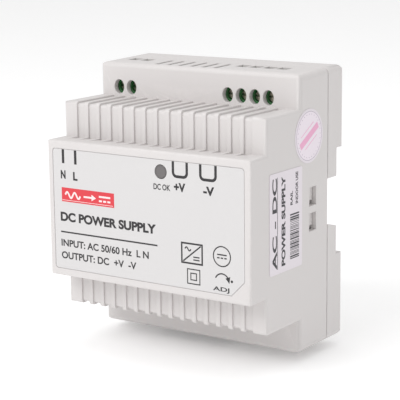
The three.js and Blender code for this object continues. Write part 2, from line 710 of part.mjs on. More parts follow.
function mainBoard() {
  const xs = around(0, BOARD_HALF_WIDTH);
  const board = box(xs, [BOARD_FRONT, BOARD_BACK], [BOARD_BOTTOM, BOARD_TOP]);
  const through = [BOARD_FRONT - BEYOND, BOARD_BACK + BEYOND];
  return cutFrom(board, [
    ...BOARD_SCREWS.map(([x, z]) => barY(x, z, 1.5, through, 12)),
    ...POLES.map(({ x }) => barY(x, 77.9, 0.8, through, 8)),
  ]);
}

function boardScrew([x, z]) {
  const head = barY(x, z, 1.9, [ON_BOARD - 1.4, ON_BOARD], 16);
  const recess = box(around(x, 1.2), [ON_BOARD - 2, ON_BOARD - 0.7], around(z, 0.25));
  return head.add(barY(x, z, 1.05, [ON_BOARD - GAP, 50], 12)).subtract(recess);
}

// A can standing on the board, with a rolled-in groove near its foot.
function can(x, z, radius, height) {
  const groove = radius * 0.06;
  const points = [
    [0, 0], [radius, 0], [radius, 2], [radius - groove, 2.6], [radius, 3.2],
    [radius, height - 0.6], [radius - 0.6, height], [0, height],
  ].map(([r, h]) => new THREE.Vector2(r, h));
  const geometry = new THREE.LatheGeometry(points, 24);
  geometry.rotateX(Math.PI);
  geometry.translate(x, ON_BOARD, z);
  return toSolid(geometry);
}

// A coated disc on two wire legs, standing on the board with its face along Z.
function discOnLegs(x, z, radius, thickness) {
  const geometry = new THREE.CylinderGeometry(radius, radius, thickness, 20);
  geometry.rotateX(Math.PI / 2);
  const lift = 2;
  geometry.translate(x, BOARD_FRONT - lift - radius, z);
  const legs = [-2.5, 2.5].map((dx) => barY(x + dx, z, 0.4, [BOARD_FRONT - lift - radius, ON_BOARD], 6));
  return joined([toSolid(geometry), ...legs]);
}

const blockOnBoard = (xs, zs, height) => box(xs, [ON_BOARD - height, ON_BOARD], zs);

const CHOKE = { x: [-34, -25], y: 32, z: 43.5, inner: 4.5, outer: 7.5, wind: 1.2 };

function ringX(inner, outer, [x0, x1], y, z) {
  const shape = new THREE.Shape();
  shape.absarc(y, z, outer, 0, 2 * Math.PI);
  const hole = new THREE.Path();
  hole.absarc(y, z, inner, 0, 2 * Math.PI);
  shape.holes.push(hole);
  return prismX(shape, [x0, x1], 10);
}

function chokeCore() {
  const { x, y, z, inner, outer, wind } = CHOKE;
  return ringX(inner, outer, [x[0] + wind, x[1] - wind], y, z);
}

// One of the two windings: the ring's upper or lower half, wrapped round the core.
function chokeWinding(side) {
  const { x, y, z, inner, outer, wind } = CHOKE;
  const wrap = ringX(inner - wind, outer + wind, x, y, z);
  const clear = ringX(inner - GAP, outer + GAP, [x[0] + wind - GAP, x[1] - wind + GAP], y, z);
  const gapFromMiddle = 1.5;
  const zs = side > 0 ? [z + gapFromMiddle, z + outer * 2] : [z - outer * 2, z - gapFromMiddle];
  return wrap.subtract(clear).intersect(box([x[0] - BEYOND, x[1] + BEYOND], around(y, outer * 2), zs));
}

function chokeBase() {
  return blockOnBoard([CHOKE.x[0], CHOKE.x[1]], around(CHOKE.z, 7), 0.9);
}

const TRANSFORMER = { x: 11.5, y: 30.8, z: 38.5, half: 12.5, depth: 3.5, leg: 3.5 };

// Two E-shaped ferrite halves that close into one frame with a middle leg.
function transformerCore() {
  const { x, y, z, half, depth, leg } = TRANSFORMER;
  const frame = box(around(x, half), around(y, depth), around(z, half));
  const windowZ = around(z, half - leg);
  return cutFrom(frame, [
    box([x - half + leg, x - leg], [y - depth - BEYOND, y + depth + BEYOND], windowZ),
    box([x + leg, x + half - leg], [y - depth - BEYOND, y + depth + BEYOND], windowZ),
  ]);
}

function transformerBobbin() {
  const { x, y, z, half, depth, leg } = TRANSFORMER;
  const clear = 0.2;
  const reach = half - leg - clear;
  const tube = box(around(x, leg + 0.9), around(y, depth + 0.9), around(z, reach));
  const flange = (z0, z1) => box(around(x, reach), [y - 8.2, ON_BOARD], [z0, z1]);
  const body = joined([tube, flange(z - reach, z - reach + 1), flange(z + reach - 1, z + reach)]);
  return body.subtract(box(around(x, leg + clear), around(y, depth + clear), around(z, half)));
}

function transformerWinding() {
  const { x, y, z, half, depth, leg } = TRANSFORMER;
  const length = half - leg - 1.3;
  const wrap = prismZ(roundedRectangle(around(x, 8.3), around(y, 7.8), 3), around(z, length));
  return wrap.subtract(box(around(x, leg + 1), around(y, depth + 1), around(z, half)));
}

// A power package stands on three legs: a thick body, and a thin metal tab in front of it.
const PACKAGE = { body: [26.5, 36], tab: [20.5, 27], tabThickness: 1.2, leg: 0.35, pitch: 2.54 };

// The transistor's tab lies against the heat sink below it.
function switchingTransistor([x0, x1], [z0, z1]) {
  const { body, tab, tabThickness, leg, pitch } = PACKAGE;
  const legY = [body[1] - 0.5, ON_BOARD];
  const legs = [-pitch, 0, pitch].map((dx) => (
    box(around((x0 + x1) / 2 + dx, leg), legY, around((z0 + z1) / 2, leg))));
  return joined([box([x0, x1], body, [z0, z1]), box([x0, x1], tab, [z0, z0 + tabThickness]), ...legs]);
}

// The diode stands turned a quarter, with its tab against the heat sink on its left.
function outputDiode([x0, x1], [z0, z1]) {
  const { body, tab, tabThickness, leg, pitch } = PACKAGE;
  const legY = [body[1] - 0.5, ON_BOARD];
  const legs = [-pitch, 0, pitch].map((dz) => (
    box(around((x0 + x1) / 2, leg), legY, around((z0 + z1) / 2 + dz, leg))));
  return joined([box([x0, x1], body, [z0, z1]), box([x0, x0 + tabThickness], tab, [z0, z1]), ...legs]);
}

function trimmerBody() {
  const { x, z } = TRIMMER_AT;
  const body = box(around(x, TRIMMER_HALF), [TRIMMER_FRONT, ON_BOARD], around(z, TRIMMER_HALF));
  const seat = barY(x, z, TRIMMER_ROTOR_RADIUS + 0.1, [TRIMMER_FRONT - BEYOND, TRIMMER_FRONT + 2]);
  return body.subtract(seat);
}

function trimmerRotor() {
  const { x, z } = TRIMMER_AT;
  const rotor = barY(x, z, TRIMMER_ROTOR_RADIUS, [TRIMMER_FRONT - 0.7, TRIMMER_FRONT + 1.9], 24);
  return rotor.subtract(box(around(x, 2), [TRIMMER_FRONT - 1, TRIMMER_FRONT + 0.1], around(z, 0.3)));
}

// ---------------------------------------------------------------- assembly

addPiece('front_housing', frontHousing(), 'housing');
addPiece('rear_cover', rearCover(), 'housing');
addPiece('rail_latch', railLatch(), 'latch');
addPiece('latch_spring', latchSpring(), 'steel');
addPiece('front_label', frontLabel(), 'label');
addPiece('rating_sticker', ratingSticker(), 'label');
addPiece('round_sticker', roundSticker(), 'seal');
addPiece('status_window', statusWindow(), 'lens');
addPiece('status_led', statusLed(), 'led');
addPiece('led_spacer', ledSpacer(), 'epoxy');

addPiece('input_terminal_block', terminalBlock(INPUT_POLES), 'terminal');
addPiece('output_terminal_block', terminalBlock(OUTPUT_POLES), 'terminal');
for (const { name, x } of POLES) {
  addPiece(`terminal_screw_${name}`, terminalScrew(x), 'steel');
  addPiece(`clamp_cage_${name}`, clampCage(x), 'steel');
  addPiece(`contact_tongue_${name}`, contactTongue(x), 'tinned');
}

addPiece('main_board', mainBoard(), 'board');
BOARD_SCREWS.forEach((at, i) => addPiece(`board_screw_${i + 1}`, boardScrew(at), 'steel'));
addPiece('fuse', can(-30, 70, 4.2, 8), 'epoxy');
addPiece('inrush_thermistor', discOnLegs(-19.5, 70, 5.5, 4), 'ferrite');
addPiece('surge_varistor', discOnLegs(-7, 73.5, 5, 3.6), 'disc');
addPiece('mains_filter_capacitor', blockOnBoard([-34, -16], [55.5, 64], 15), 'film');
addPiece('choke_core', chokeCore(), 'ferrite');
addPiece('choke_winding_upper', chokeWinding(1), 'copper');
addPiece('choke_winding_lower', chokeWinding(-1), 'copper');
addPiece('choke_base', chokeBase(), 'epoxy');
addPiece('bridge_rectifier', blockOnBoard([-34, -19.5], [27, 30.5], 11.5), 'epoxy');
addPiece('bulk_capacitor', can(-13, 41, 9, 32), 'sleeve');
addPiece('transformer_core', transformerCore(), 'ferrite');
addPiece('transformer_bobbin', transformerBobbin(), 'epoxy');
addPiece('transformer_winding', transformerWinding(), 'film');
addPiece('primary_heat_sink', blockOnBoard([-1, 24], [52.4, 54], 22), 'aluminium');
addPiece('switching_transistor', switchingTransistor([10, 20], [54.1, 58.5]), 'epoxy');
addPiece('output_heat_sink', blockOnBoard([27.5, 29.1], [28, 49], 24), 'aluminium');
addPiece('output_diode', outputDiode([29.3, 33.6], [33, 43]), 'epoxy');
addPiece('output_capacitor_1', can(18, 66.5, 5, 20), 'sleeve');
addPiece('output_capacitor_2', can(29, 68, 5, 20), 'sleeve');
addPiece('output_inductor', can(29, 56, 5.2, 12), 'ferrite');
addPiece('interference_capacitor', discOnLegs(13, 21, 4, 3), 'disc');
addPiece('optocoupler', blockOnBoard([0, 4.6], [17, 23.5], 3.5), 'epoxy');
addPiece('pwm_controller', blockOnBoard([-14, -7.6], [15, 24.6], 3.4), 'epoxy');
addPiece('trimmer_body', trimmerBody(), 'disc');
addPiece('trimmer_rotor', trimmerRotor(), 'latch');

supply.position.set(0, -RAIL_SEAT, -RAIL_CENTRE);

const model = new THREE.Group();
model.add(supply);

export default model;
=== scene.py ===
"""The looks of a stepped power supply for a 35 mm rail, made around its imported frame.

Lengths are in metres: X to the right, Y back to the rail, Z up. The origin is the middle of the
rail seat. Places come from the frame's nodes; a place on a label is measured from the label's own
lower left corner.
"""

import math
import random

import bmesh
import bpy
from bpy.props import FloatProperty, FloatVectorProperty, IntProperty
from mathutils import Matrix, Vector


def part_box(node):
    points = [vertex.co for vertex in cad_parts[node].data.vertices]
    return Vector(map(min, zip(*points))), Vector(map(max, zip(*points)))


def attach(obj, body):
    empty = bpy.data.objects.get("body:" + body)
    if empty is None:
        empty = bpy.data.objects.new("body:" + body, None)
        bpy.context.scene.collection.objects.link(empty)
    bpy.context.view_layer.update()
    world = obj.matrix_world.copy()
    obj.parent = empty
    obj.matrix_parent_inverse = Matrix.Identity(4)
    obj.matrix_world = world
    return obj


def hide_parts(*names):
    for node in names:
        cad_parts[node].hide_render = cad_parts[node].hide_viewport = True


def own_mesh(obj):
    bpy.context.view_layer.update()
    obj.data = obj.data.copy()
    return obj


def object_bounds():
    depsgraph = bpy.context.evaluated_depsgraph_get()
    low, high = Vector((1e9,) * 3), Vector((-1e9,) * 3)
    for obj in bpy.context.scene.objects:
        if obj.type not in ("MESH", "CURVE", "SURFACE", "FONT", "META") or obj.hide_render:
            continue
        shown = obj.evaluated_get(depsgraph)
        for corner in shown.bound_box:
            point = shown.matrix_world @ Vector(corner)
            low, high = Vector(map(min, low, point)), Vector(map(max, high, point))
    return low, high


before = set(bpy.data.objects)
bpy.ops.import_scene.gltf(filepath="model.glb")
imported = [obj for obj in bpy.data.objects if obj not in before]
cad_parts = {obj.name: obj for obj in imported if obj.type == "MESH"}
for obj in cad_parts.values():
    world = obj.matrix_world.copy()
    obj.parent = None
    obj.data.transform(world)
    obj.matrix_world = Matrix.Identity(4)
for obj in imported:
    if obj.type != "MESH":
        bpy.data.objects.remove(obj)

bl_info = {
    "name": "Rail Power Supply",
    "version": (1, 0, 0),
    "blender": (4, 5, 0),
    "location": "3D View > Sidebar > Supply",
    "description": "Makes the looks of a stepped rail power supply around its packed frame",
    "category": "Object",
}

CAD_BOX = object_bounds()
MM = 0.001
HERE = 0.02 * MM  # how near an edge has to be to a plane to count as on it
FILM_EDGE = 0.05 * MM
SHEET_EDGE = 0.06 * MM  # round the board and the contact tongues
SCREW_EDGE = 0.08 * MM
MOULDED_EDGE = 0.1 * MM
LENS_EDGE = 0.12 * MM
LATCH_EDGE = 0.2 * MM
WELD = 0.001 * MM  # points nearer than this become one
FLAT_WITHIN = math.radians(0.5)  # faces that meet at less than this become one
SMOOTH_UP_TO = math.radians(40)
SQUARE_ON = 0.999  # how much of a face's normal has to lie along an axis for it to count as square

HOUSING_LOW, HOUSING_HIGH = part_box("front_housing")
LABEL_LOW, LABEL_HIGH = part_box("front_label")
WINDOW_LOW, WINDOW_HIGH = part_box("status_window")
MIDDLE_Z = (HOUSING_LOW.z + HOUSING_HIGH.z) / 2
POLES = ("line_neutral", "line_live", "plus_1", "plus_2", "minus_1", "minus_2")


# ------------------------------------------------------------------ settings


def length(name, description, default, low=0.0, high=1.0):
    return FloatProperty(name=name, description=description, default=default, min=low, max=high,
                         unit="LENGTH", precision=5)


def share(name, description, default):
    return FloatProperty(name=name, description=description, default=default, min=0.0, max=1.0,
                         subtype="FACTOR")


def angle(name, description, default_degrees):
    return FloatProperty(name=name, description=description, default=math.radians(default_degrees),
                         subtype="ANGLE")


def colour(name, description, red, green, blue):
    """A colour setting; its default is given in 0 to 255 screen values."""
    return FloatVectorProperty(name=name, description=description, subtype="COLOR", size=3, min=0.0,
                               max=1.0, default=screen_colour(red, green, blue))


def screen_to_linear(value):
    if value <= 0.04045:
        return value / 12.92
    return ((value + 0.055) / 1.055) ** 2.4


def screen_colour(red, green, blue):
    return [screen_to_linear(v / 255) for v in (red, green, blue)]


class CaseSettings(bpy.types.PropertyGroup):
    """Sizes and colours of the moulded case."""

    plastic: colour("Case colour", "Colour of the case's plastic", 211, 207, 206)
    latch: colour("Latch colour", "Colour of the rail latch", 205, 200, 196)
    roughness: share("Case roughness", "How matt the case's plastic is", 0.46)
    grain_size: length("Grain size", "Width of one grain of the mould's texture", 0.22 * MM)
    grain_depth: length("Grain depth", "Depth of the mould's texture", 0.006 * MM)
    ribbed_step: length("Ribbed step", "From the front panel back to the ribbed step", 9.3 * MM)
    top_step: length("Rear step", "From the front panel back to the rear step", 29.2 * MM)
    draft: share("Draft", "How far the rear block's top rises for each metre back", 0.026)
    rib_edge: length("Rib edge", "Radius along the ribs' edges", 0.16 * MM)
    rim_edge: length("Rim edge", "Radius around holes, slots and the seam", 0.2 * MM)
    label_edge: length("Recess edge", "Radius around the label's recess", 0.08 * MM)


class PrintSettings(bpy.types.PropertyGroup):
    """Colours of the labels and their printing."""

    film: colour("Film colour", "Colour of the front label", 208, 206, 206)
    ink: colour("Ink colour", "Colour of the black printing", 38, 36, 38)
    banner: colour("Banner colour", "Colour of the coloured bar", 214, 56, 66)
    knock_out: colour("Banner mark colour", "Colour of the marks on the coloured bar", 240, 222, 222)
    paper: colour("Sticker colour", "Colour of the rating sticker", 224, 217, 223)
    paper_ink: colour("Sticker ink colour", "Colour of the rating sticker's printing", 50, 48, 53)
    seal: colour("Seal colour", "Colour inside the round sticker's rim", 232, 222, 231)
    seal_line: colour("Seal line colour", "Colour of the round sticker's fine lines", 172, 162, 176)
    seal_band: colour("Seal band colour", "Colour of the round sticker's band", 231, 168, 200)
    ink_height: length("Ink height", "How thick the printing is", 0.015 * MM)


class PartSettings(bpy.types.PropertyGroup):
    """Sizes and colours of the terminals and the circuit."""

    terminal: colour("Terminal colour", "Colour of the terminal blocks", 50, 118, 64)
    board: colour("Board colour", "Colour of the circuit board", 30, 84, 48)
    part_edge: length("Part edge", "Radius along the edges of small parts", 0.15 * MM)
    choke_bore: length("Choke bore", "Inner diameter of the choke's ring core", 9.0 * MM)
    choke_turns: IntProperty(name="Choke turns", description="Turns in each choke winding", default=13,
                             min=3, max=40)
    spring_turns: IntProperty(name="Spring turns", description="Turns of the latch spring", default=8,
                              min=3, max=20)


class StudioSettings(bpy.types.PropertyGroup):
    """The camera and the lights."""

    azimuth: angle("Azimuth", "The camera's turn round the object, from the front", 34.399)
    elevation: angle("Elevation", "The camera's height above the horizon", 11.537)
    roll: angle("Roll", "The camera's turn about its own axis", -0.646)
    distance: length("Distance", "From the camera to what it aims at", 488.73 * MM)
    lens: FloatProperty(name="Lens", description="Focal length in millimetres", default=133.99)
    sky: FloatProperty(name="Sky", description="Strength of the white surroundings", default=0.76)
    key: FloatProperty(name="Key light", description="Power of the main light in watts", default=6.0,
                       unit="POWER")
    floor_glow: FloatProperty(name="Floor glow", description="How much light the floor gives off",
                              default=0.14)
    top: FloatProperty(name="Top light", description="Power of the light above in watts", default=1.45,
                       unit="POWER")


def settings():
    return bpy.context.scene.rail_supply


class SupplySettings(bpy.types.PropertyGroup):
    """Everything that can be set about the power supply."""

    case: bpy.props.PointerProperty(type=CaseSettings)
    printing: bpy.props.PointerProperty(type=PrintSettings)
    parts: bpy.props.PointerProperty(type=PartSettings)
    studio: bpy.props.PointerProperty(type=StudioSettings)


# ------------------------------------------------------------------ shader nodes


def add_node(tree, kind, inputs=None, **values):
    """Adds a node, sets its values, and links or sets its inputs."""
    node = tree.nodes.new(kind)
    for name, value in values.items():
        setattr(node, name, value)
    for socket, value in (inputs or {}).items():
        if isinstance(value, bpy.types.NodeSocket):
            tree.links.new(value, node.inputs[socket])
        else:
            node.inputs[socket].default_value = value
    return node


GREY = (0.5, 0.5, 0.5, 1.0)
SOCKET_KINDS = {4: "NodeSocketColor", 3: "NodeSocketVector"}  # by how many numbers the default has


def new_group(name, inputs):
    """A shader node group with the named inputs; returns its tree and the inputs' sockets in it."""
    tree = bpy.data.node_groups.new(name, "ShaderNodeTree")
    for socket, default in inputs.items():
        kind = SOCKET_KINDS[len(default)] if isinstance(default, tuple) else "NodeSocketFloat"
        made = tree.interface.new_socket(name=socket, in_out="INPUT", socket_type=kind)
        made.default_value = default
    return tree, tree.nodes.new("NodeGroupInput").outputs


def end_group(tree, results):
    """Gives a group its outputs, each linked to its result."""
    for socket in results:
        kind = "NodeSocketColor" if socket == "Colour" else "NodeSocketFloat"
        tree.interface.new_socket(name=socket, in_out="OUTPUT", socket_type=kind)
    end = tree.nodes.new("NodeGroupOutput")
    for socket, value in results.items():
        tree.links.new(value, end.inputs[socket])
    return tree


def noise(tree, coordinates, scale, detail=2.0, roughness=0.5):
    return add_node(tree, "ShaderNodeTexNoise", {
        "Vector": coordinates, "Scale": scale, "Detail": detail, "Roughness": roughness})


def math_node(tree, operation, first, second=0.0, clamp=False):
    return add_node(tree, "ShaderNodeMath", {0: first, 1: second}, operation=operation,
                    use_clamp=clamp).outputs[0]


def object_place(tree):
    return add_node(tree, "ShaderNodeTexCoord").outputs["Object"]


def ramp(tree, value, low, high, top=1.0):
    """From 0 to top while the value goes from low to high."""
    return add_node(tree, "ShaderNodeMapRange", {
        "Value": value, "From Min": low, "From Max": high, "To Max": top}).outputs[0]


def blend(tree, factor, first, second):
    return add_node(tree, "ShaderNodeMix", {"Factor": factor, "A": first, "B": second},
                    data_type="RGBA").outputs["Result"]


def shaded(tree, tint, shade):
    return add_node(tree, "ShaderNodeVectorMath", {0: tint, "Scale": shade}, operation="SCALE").outputs[0]


def spread_about(tree, value, centre, spread):
    """centre + (value - 0.5) * 2 * spread, for a noise value from 0 to 1."""
    signed = math_node(tree, "MULTIPLY_ADD", value, 2.0)
    signed.node.inputs[2].default_value = -1.0
    scaled = math_node(tree, "MULTIPLY", signed, spread)
    return math_node(tree, "ADD", scaled, centre, clamp=True)


def surface_group():
    """Grain and uneven tone, as moulded plastic, paint and cast or coated parts have."""
    tree, start = new_group("surface_grain", {
        "Colour": GREY, "Grain Size": 0.0002, "Tone Spread": 0.02, "Roughness": 0.5,
        "Roughness Spread": 0.05})
    place = object_place(tree)
    scale = math_node(tree, "DIVIDE", 1.0, start["Grain Size"])
    grain = noise(tree, place, scale, detail=3.0).outputs["Fac"]
    clouds = noise(tree, place, 70.0).outputs["Fac"]
    tone = spread_about(tree, clouds, 1.0, start["Tone Spread"])
    tone.node.use_clamp = False
    fine = spread_about(tree, grain, 1.0, math_node(tree, "MULTIPLY", start["Tone Spread"], 0.5))
    fine.node.use_clamp = False
    both = math_node(tree, "MULTIPLY", tone, fine)
    tinted = shaded(tree, start["Colour"], both)
    rough = spread_about(tree, clouds, start["Roughness"], start["Roughness Spread"])
    return end_group(tree, {"Colour": tinted, "Roughness": rough, "Height": grain})


def veil(tree, start, where, specks, other):
    """Ends a group that lays another colour where both masks say, by the group's amount."""
    mask = math_node(tree, "MULTIPLY", math_node(tree, "MULTIPLY", where, specks), start["Amount"])
    return end_group(tree, {"Colour": blend(tree, mask, start["Colour"], start[other])})


def wear_group():
    """Edges rubbed a little lighter, broken up by noise."""
    tree, start = new_group("edge_wear", {
        "Colour": GREY, "Worn Colour": (0.8, 0.8, 0.8, 1.0), "Amount": 0.3})
    sharpness = add_node(tree, "ShaderNodeNewGeometry").outputs["Pointiness"]
    patches = noise(tree, object_place(tree), 400.0, detail=4.0, roughness=0.7).outputs["Fac"]
    return veil(tree, start, ramp(tree, sharpness, 0.52, 0.6), ramp(tree, patches, 0.35, 0.65),
                "Worn Colour")


def dust_group():
    """A thin film of dust that lies on upward faces."""
    tree, start = new_group("settled_dust", {
        "Colour": GREY, "Dust Colour": (0.55, 0.52, 0.48, 1.0), "Amount": 0.1})
    normal = add_node(tree, "ShaderNodeNewGeometry").outputs["Normal"]
    upward = add_node(tree, "ShaderNodeSeparateXYZ", {0: normal}).outputs["Z"]
    specks = noise(tree, object_place(tree), 900.0, detail=5.0, roughness=0.75).outputs["Fac"]
    return veil(tree, start, ramp(tree, upward, 0.4, 1.0), ramp(tree, specks, 0.42, 0.7),
                "Dust Colour")


def metal_group():
    """Fine drawn or rolled lines along one direction, over coarser patches."""
    tree, start = new_group("drawn_lines", {
        "Stretch": (1.0, 1.0, 1.0), "Line Scale": 4000.0, "Roughness": 0.35, "Roughness Spread": 0.1})
    place = object_place(tree)
    stretched = add_node(tree, "ShaderNodeVectorMath", {0: place, 1: start["Stretch"]},
                         operation="MULTIPLY").outputs[0]
    lines = noise(tree, stretched, start["Line Scale"]).outputs["Fac"]
    patches = noise(tree, place, 300.0, detail=3.0).outputs["Fac"]
    fine = math_node(tree, "MULTIPLY", lines, 0.6)
    coarse = math_node(tree, "MULTIPLY", patches, 0.4)
    both = math_node(tree, "ADD", fine, coarse)
    rough = spread_about(tree, both, start["Roughness"], start["Roughness Spread"])
    shade = spread_about(tree, both, 0.93, 0.07)
    return end_group(tree, {"Roughness": rough, "Height": lines, "Shade": shade})


GROUPS = {}


def group(name):
    """The shader group of that name, made when first asked for."""
    makers = {"surface_grain": surface_group, "edge_wear": wear_group, "settled_dust": dust_group,
              "drawn_lines": metal_group}
    if name not in GROUPS:
        GROUPS[name] = makers[name]()
    return GROUPS[name]


def place_group(tree, name, inputs):
    return add_node(tree, "ShaderNodeGroup", inputs, node_tree=group(name))


def new_material(name):
    """An empty material; returns it, its tree and its Principled BSDF."""
    material = bpy.data.materials.new(name)
    material.use_nodes = True
    tree = material.node_tree
    tree.nodes.clear()
    shader = tree.nodes.new("ShaderNodeBsdfPrincipled")
    output = tree.nodes.new("ShaderNodeOutputMaterial")
    tree.links.new(shader.outputs[0], output.inputs["Surface"])
    return material, tree, shader


def dress(tree, shader, tint, roughness, height, depth):
    """Links a colour, a roughness and a height of the given depth to the shader."""
    bump = add_node(tree, "ShaderNodeBump", {"Height": height, "Strength": 1.0, "Distance": depth})
    tree.links.new(tint, shader.inputs["Base Color"])
    tree.links.new(roughness, shader.inputs["Roughness"])
    tree.links.new(bump.outputs["Normal"], shader.inputs["Normal"])


def rgba(values):
    return (values[0], values[1], values[2], 1.0)


def lighter(values, amount):
    return [min(1.0, v * amount) for v in values]


def grained(tree, tint, grain, tone, roughness, spread=0.05):
    return place_group(tree, "surface_grain", {
        "Colour": rgba(tint), "Grain Size": grain, "Tone Spread": tone, "Roughness": roughness,
        "Roughness Spread": spread}).outputs


def moulded(name, base, roughness, grain, depth, tone, wear=0.0, dust=0.0, coat=0.0):
    """A moulded, coated or printed surface: grain, uneven tone, a little wear and dust."""
    material, tree, shader = new_material(name)
    surface = grained(tree, base, grain, tone, roughness)
    tint = surface["Colour"]
    if wear > 0:
        tint = place_group(tree, "edge_wear", {
            "Colour": tint, "Worn Colour": rgba(lighter(base, 1.25)), "Amount": wear}).outputs["Colour"]
    if dust > 0:
        tint = place_group(tree, "settled_dust", {"Colour": tint, "Amount": dust}).outputs["Colour"]
    dress(tree, shader, tint, surface["Roughness"], surface["Height"], depth)
    shader.inputs["Coat Weight"].default_value = coat
    shader.inputs["Coat Roughness"].default_value = 0.2
    return material


LINE_SCALE = 3000.0
LINE_DEPTH = 0.002 * MM


def metal(name, screen_values, roughness, stretch=(1.0, 1.0, 0.05)):
    """Bare or plated metal with fine lines along its length."""
    base = screen_colour(*screen_values)
    material, tree, shader = new_material(name)
    lines = place_group(tree, "drawn_lines", {
        "Stretch": stretch, "Line Scale": LINE_SCALE, "Roughness": roughness, "Roughness Spread": 0.12})
    tint = shaded(tree, base, lines.outputs["Shade"])
    worn = place_group(tree, "edge_wear", {
        "Colour": tint, "Worn Colour": rgba(lighter(base, 1.3)), "Amount": 0.5}).outputs["Colour"]
    dress(tree, shader, worn, lines.outputs["Roughness"], lines.outputs["Height"], LINE_DEPTH)
    shader.inputs["Metallic"].default_value = 1.0
    return material


RIM_INSIDE = 1.5 * MM  # from the window's middle to where the painted shade at its rim starts
RIM_OUTSIDE = 2.15 * MM
# how dark the painted shade at the window's rim gets
RIM_PAINTED_SHADE = 0.45


def window_lens():
    """Smoky grey diffusing plastic, with painted shade that darkens it towards its rim."""
    material, tree, shader = new_material("window_lens")
    surface = grained(tree, screen_colour(99, 95, 95), 0.3 * MM, 0.08, 0.4)
    place = object_place(tree)
    centre = (WINDOW_LOW + WINDOW_HIGH) / 2
    away = add_node(tree, "ShaderNodeVectorMath", {0: place, 1: (centre.x, WINDOW_LOW.y, centre.z)},
                    operation="DISTANCE").outputs["Value"]
    # painted shade: the lens is blended towards a dark grey near its rim
    rim = ramp(tree, away, RIM_INSIDE, RIM_OUTSIDE, top=RIM_PAINTED_SHADE)
    tint = blend(tree, rim, surface["Colour"], rgba(screen_colour(70, 66, 66)))
    tree.links.new(tint, shader.inputs["Base Color"])
    tree.links.new(surface["Roughness"], shader.inputs["Roughness"])
    shader.inputs["Coat Weight"].default_value = 0.4
    shader.inputs["Coat Roughness"].default_value = 0.15
    return material


def board_laminate():
    """Green solder mask over copper tracks, which show as paler, slightly raised bands."""
    material, tree, shader = new_material("board_laminate")
    surface = grained(tree, settings().parts.board, 0.25 * MM, 0.08, 0.32, 0.06)
    place = object_place(tree)
    cells = add_node(tree, "ShaderNodeTexVoronoi", {"Vector": place, "Scale": 230.0}, distance="MANHATTAN",
                     feature="F1")
    tracks = ramp(tree, cells.outputs["Distance"], 0.5, 0.56)
    tint = blend(tree, tracks, surface["Colour"], rgba(lighter(settings().parts.board, 1.7)))
    height = math_node(tree, "ADD", math_node(tree, "MULTIPLY", tracks, 0.9),
                       math_node(tree, "MULTIPLY", surface["Height"], 0.1))
    dress(tree, shader, tint, surface["Roughness"], height, 0.035 * MM)
    shader.inputs["Coat Weight"].default_value = 0.3
    return material


def moulded_finishes():
    """For each moulded, coated or printed finish: colour, roughness, grain width and depth, uneven
    tone, wear, dust and coat."""
    case = settings().case
    ink = settings().printing
    grain = (case.grain_size, case.grain_depth)
    floor = (0.97, 0.97, 0.97)
    return {
        "case_plastic": (case.plastic, case.roughness, *grain, 0.012, 0.25, 0.05),
        "latch_plastic": (case.latch, 0.5, *grain, 0.015, 0.3),
        "label_film": (ink.film, 0.34, 0.9 * MM, 0.004 * MM, 0.008, 0.0, 0.0, 0.12),
        "black_ink": (ink.ink, 0.42, 0.12 * MM, 0.001 * MM, 0.08),
        "banner_ink": (ink.banner, 0.4, 0.15 * MM, 0.001 * MM, 0.03),
        "banner_mark_ink": (ink.knock_out, 0.4, 0.15 * MM, 0.001 * MM, 0.02),
        "sticker_paper": (ink.paper, 0.38, 0.35 * MM, 0.003 * MM, 0.012, 0.0, 0.0, 0.1),
        "sticker_ink": (ink.paper_ink, 0.45, 0.12 * MM, 0.001 * MM, 0.1),
        "seal_film": (ink.seal, 0.3, 0.5 * MM, 0.002 * MM, 0.04, 0.0, 0.0, 0.3),
        "seal_line_ink": (ink.seal_line, 0.35, 0.2 * MM, 0.001 * MM, 0.08),
        "seal_band_ink": (ink.seal_band, 0.35, 0.2 * MM, 0.001 * MM, 0.06),
        "led_resin": (screen_colour(176, 200, 168), 0.15, 0.4 * MM, 0.001 * MM, 0.05, 0.0, 0.0, 0.6),
        "terminal_plastic": (settings().parts.terminal, 0.38, 0.18 * MM, 0.004 * MM, 0.06, 0.3),
        "ferrite": (screen_colour(62, 61, 64), 0.62, 0.25 * MM, 0.02 * MM, 0.12, 0.3),
        "black_epoxy": (screen_colour(34, 33, 35), 0.55, 0.12 * MM, 0.008 * MM, 0.1, 0.15),
        "capacitor_sleeve": (screen_colour(36, 44, 66), 0.3, 0.4 * MM, 0.004 * MM, 0.06, 0.0, 0.0, 0.3),
        "yellow_film": (screen_colour(214, 178, 66), 0.36, 0.3 * MM, 0.006 * MM, 0.05, 0.0, 0.0, 0.15),
        "blue_coating": (screen_colour(44, 92, 160), 0.42, 0.3 * MM, 0.015 * MM, 0.1),
        "pale_floor": (floor, 0.7, 1.5 * MM, 0.01 * MM, 0.004),
    }


METAL_FINISHES = {  # colour, roughness and, where it isn't along Z, the stretch of the lines
    "plated_steel": ((196, 190, 172), 0.32),
    "spring_steel": ((150, 150, 152), 0.3, (1.0, 1.0, 1.0)),
    "tinned_copper": ((205, 204, 200), 0.28),
    "sheet_aluminium": ((190, 192, 196), 0.4, (0.04, 1.0, 1.0)),
    "enamelled_copper": ((186, 104, 52), 0.25, (1.0, 1.0, 1.0)),
}
OTHER_FINISHES = {"window_lens": window_lens, "board_laminate": board_laminate}
MATERIALS = {}


def material(name):
    """The material of that name, made when first asked for."""
    if name in MATERIALS:
        return MATERIALS[name]
    if name in OTHER_FINISHES:
        made = OTHER_FINISHES[name]()
    elif name in METAL_FINISHES:
        made = metal(name, *METAL_FINISHES[name])
    else:
        made = moulded(name, *moulded_finishes()[name])
    MATERIALS[name] = made
    return made


# ------------------------------------------------------------------ pieces


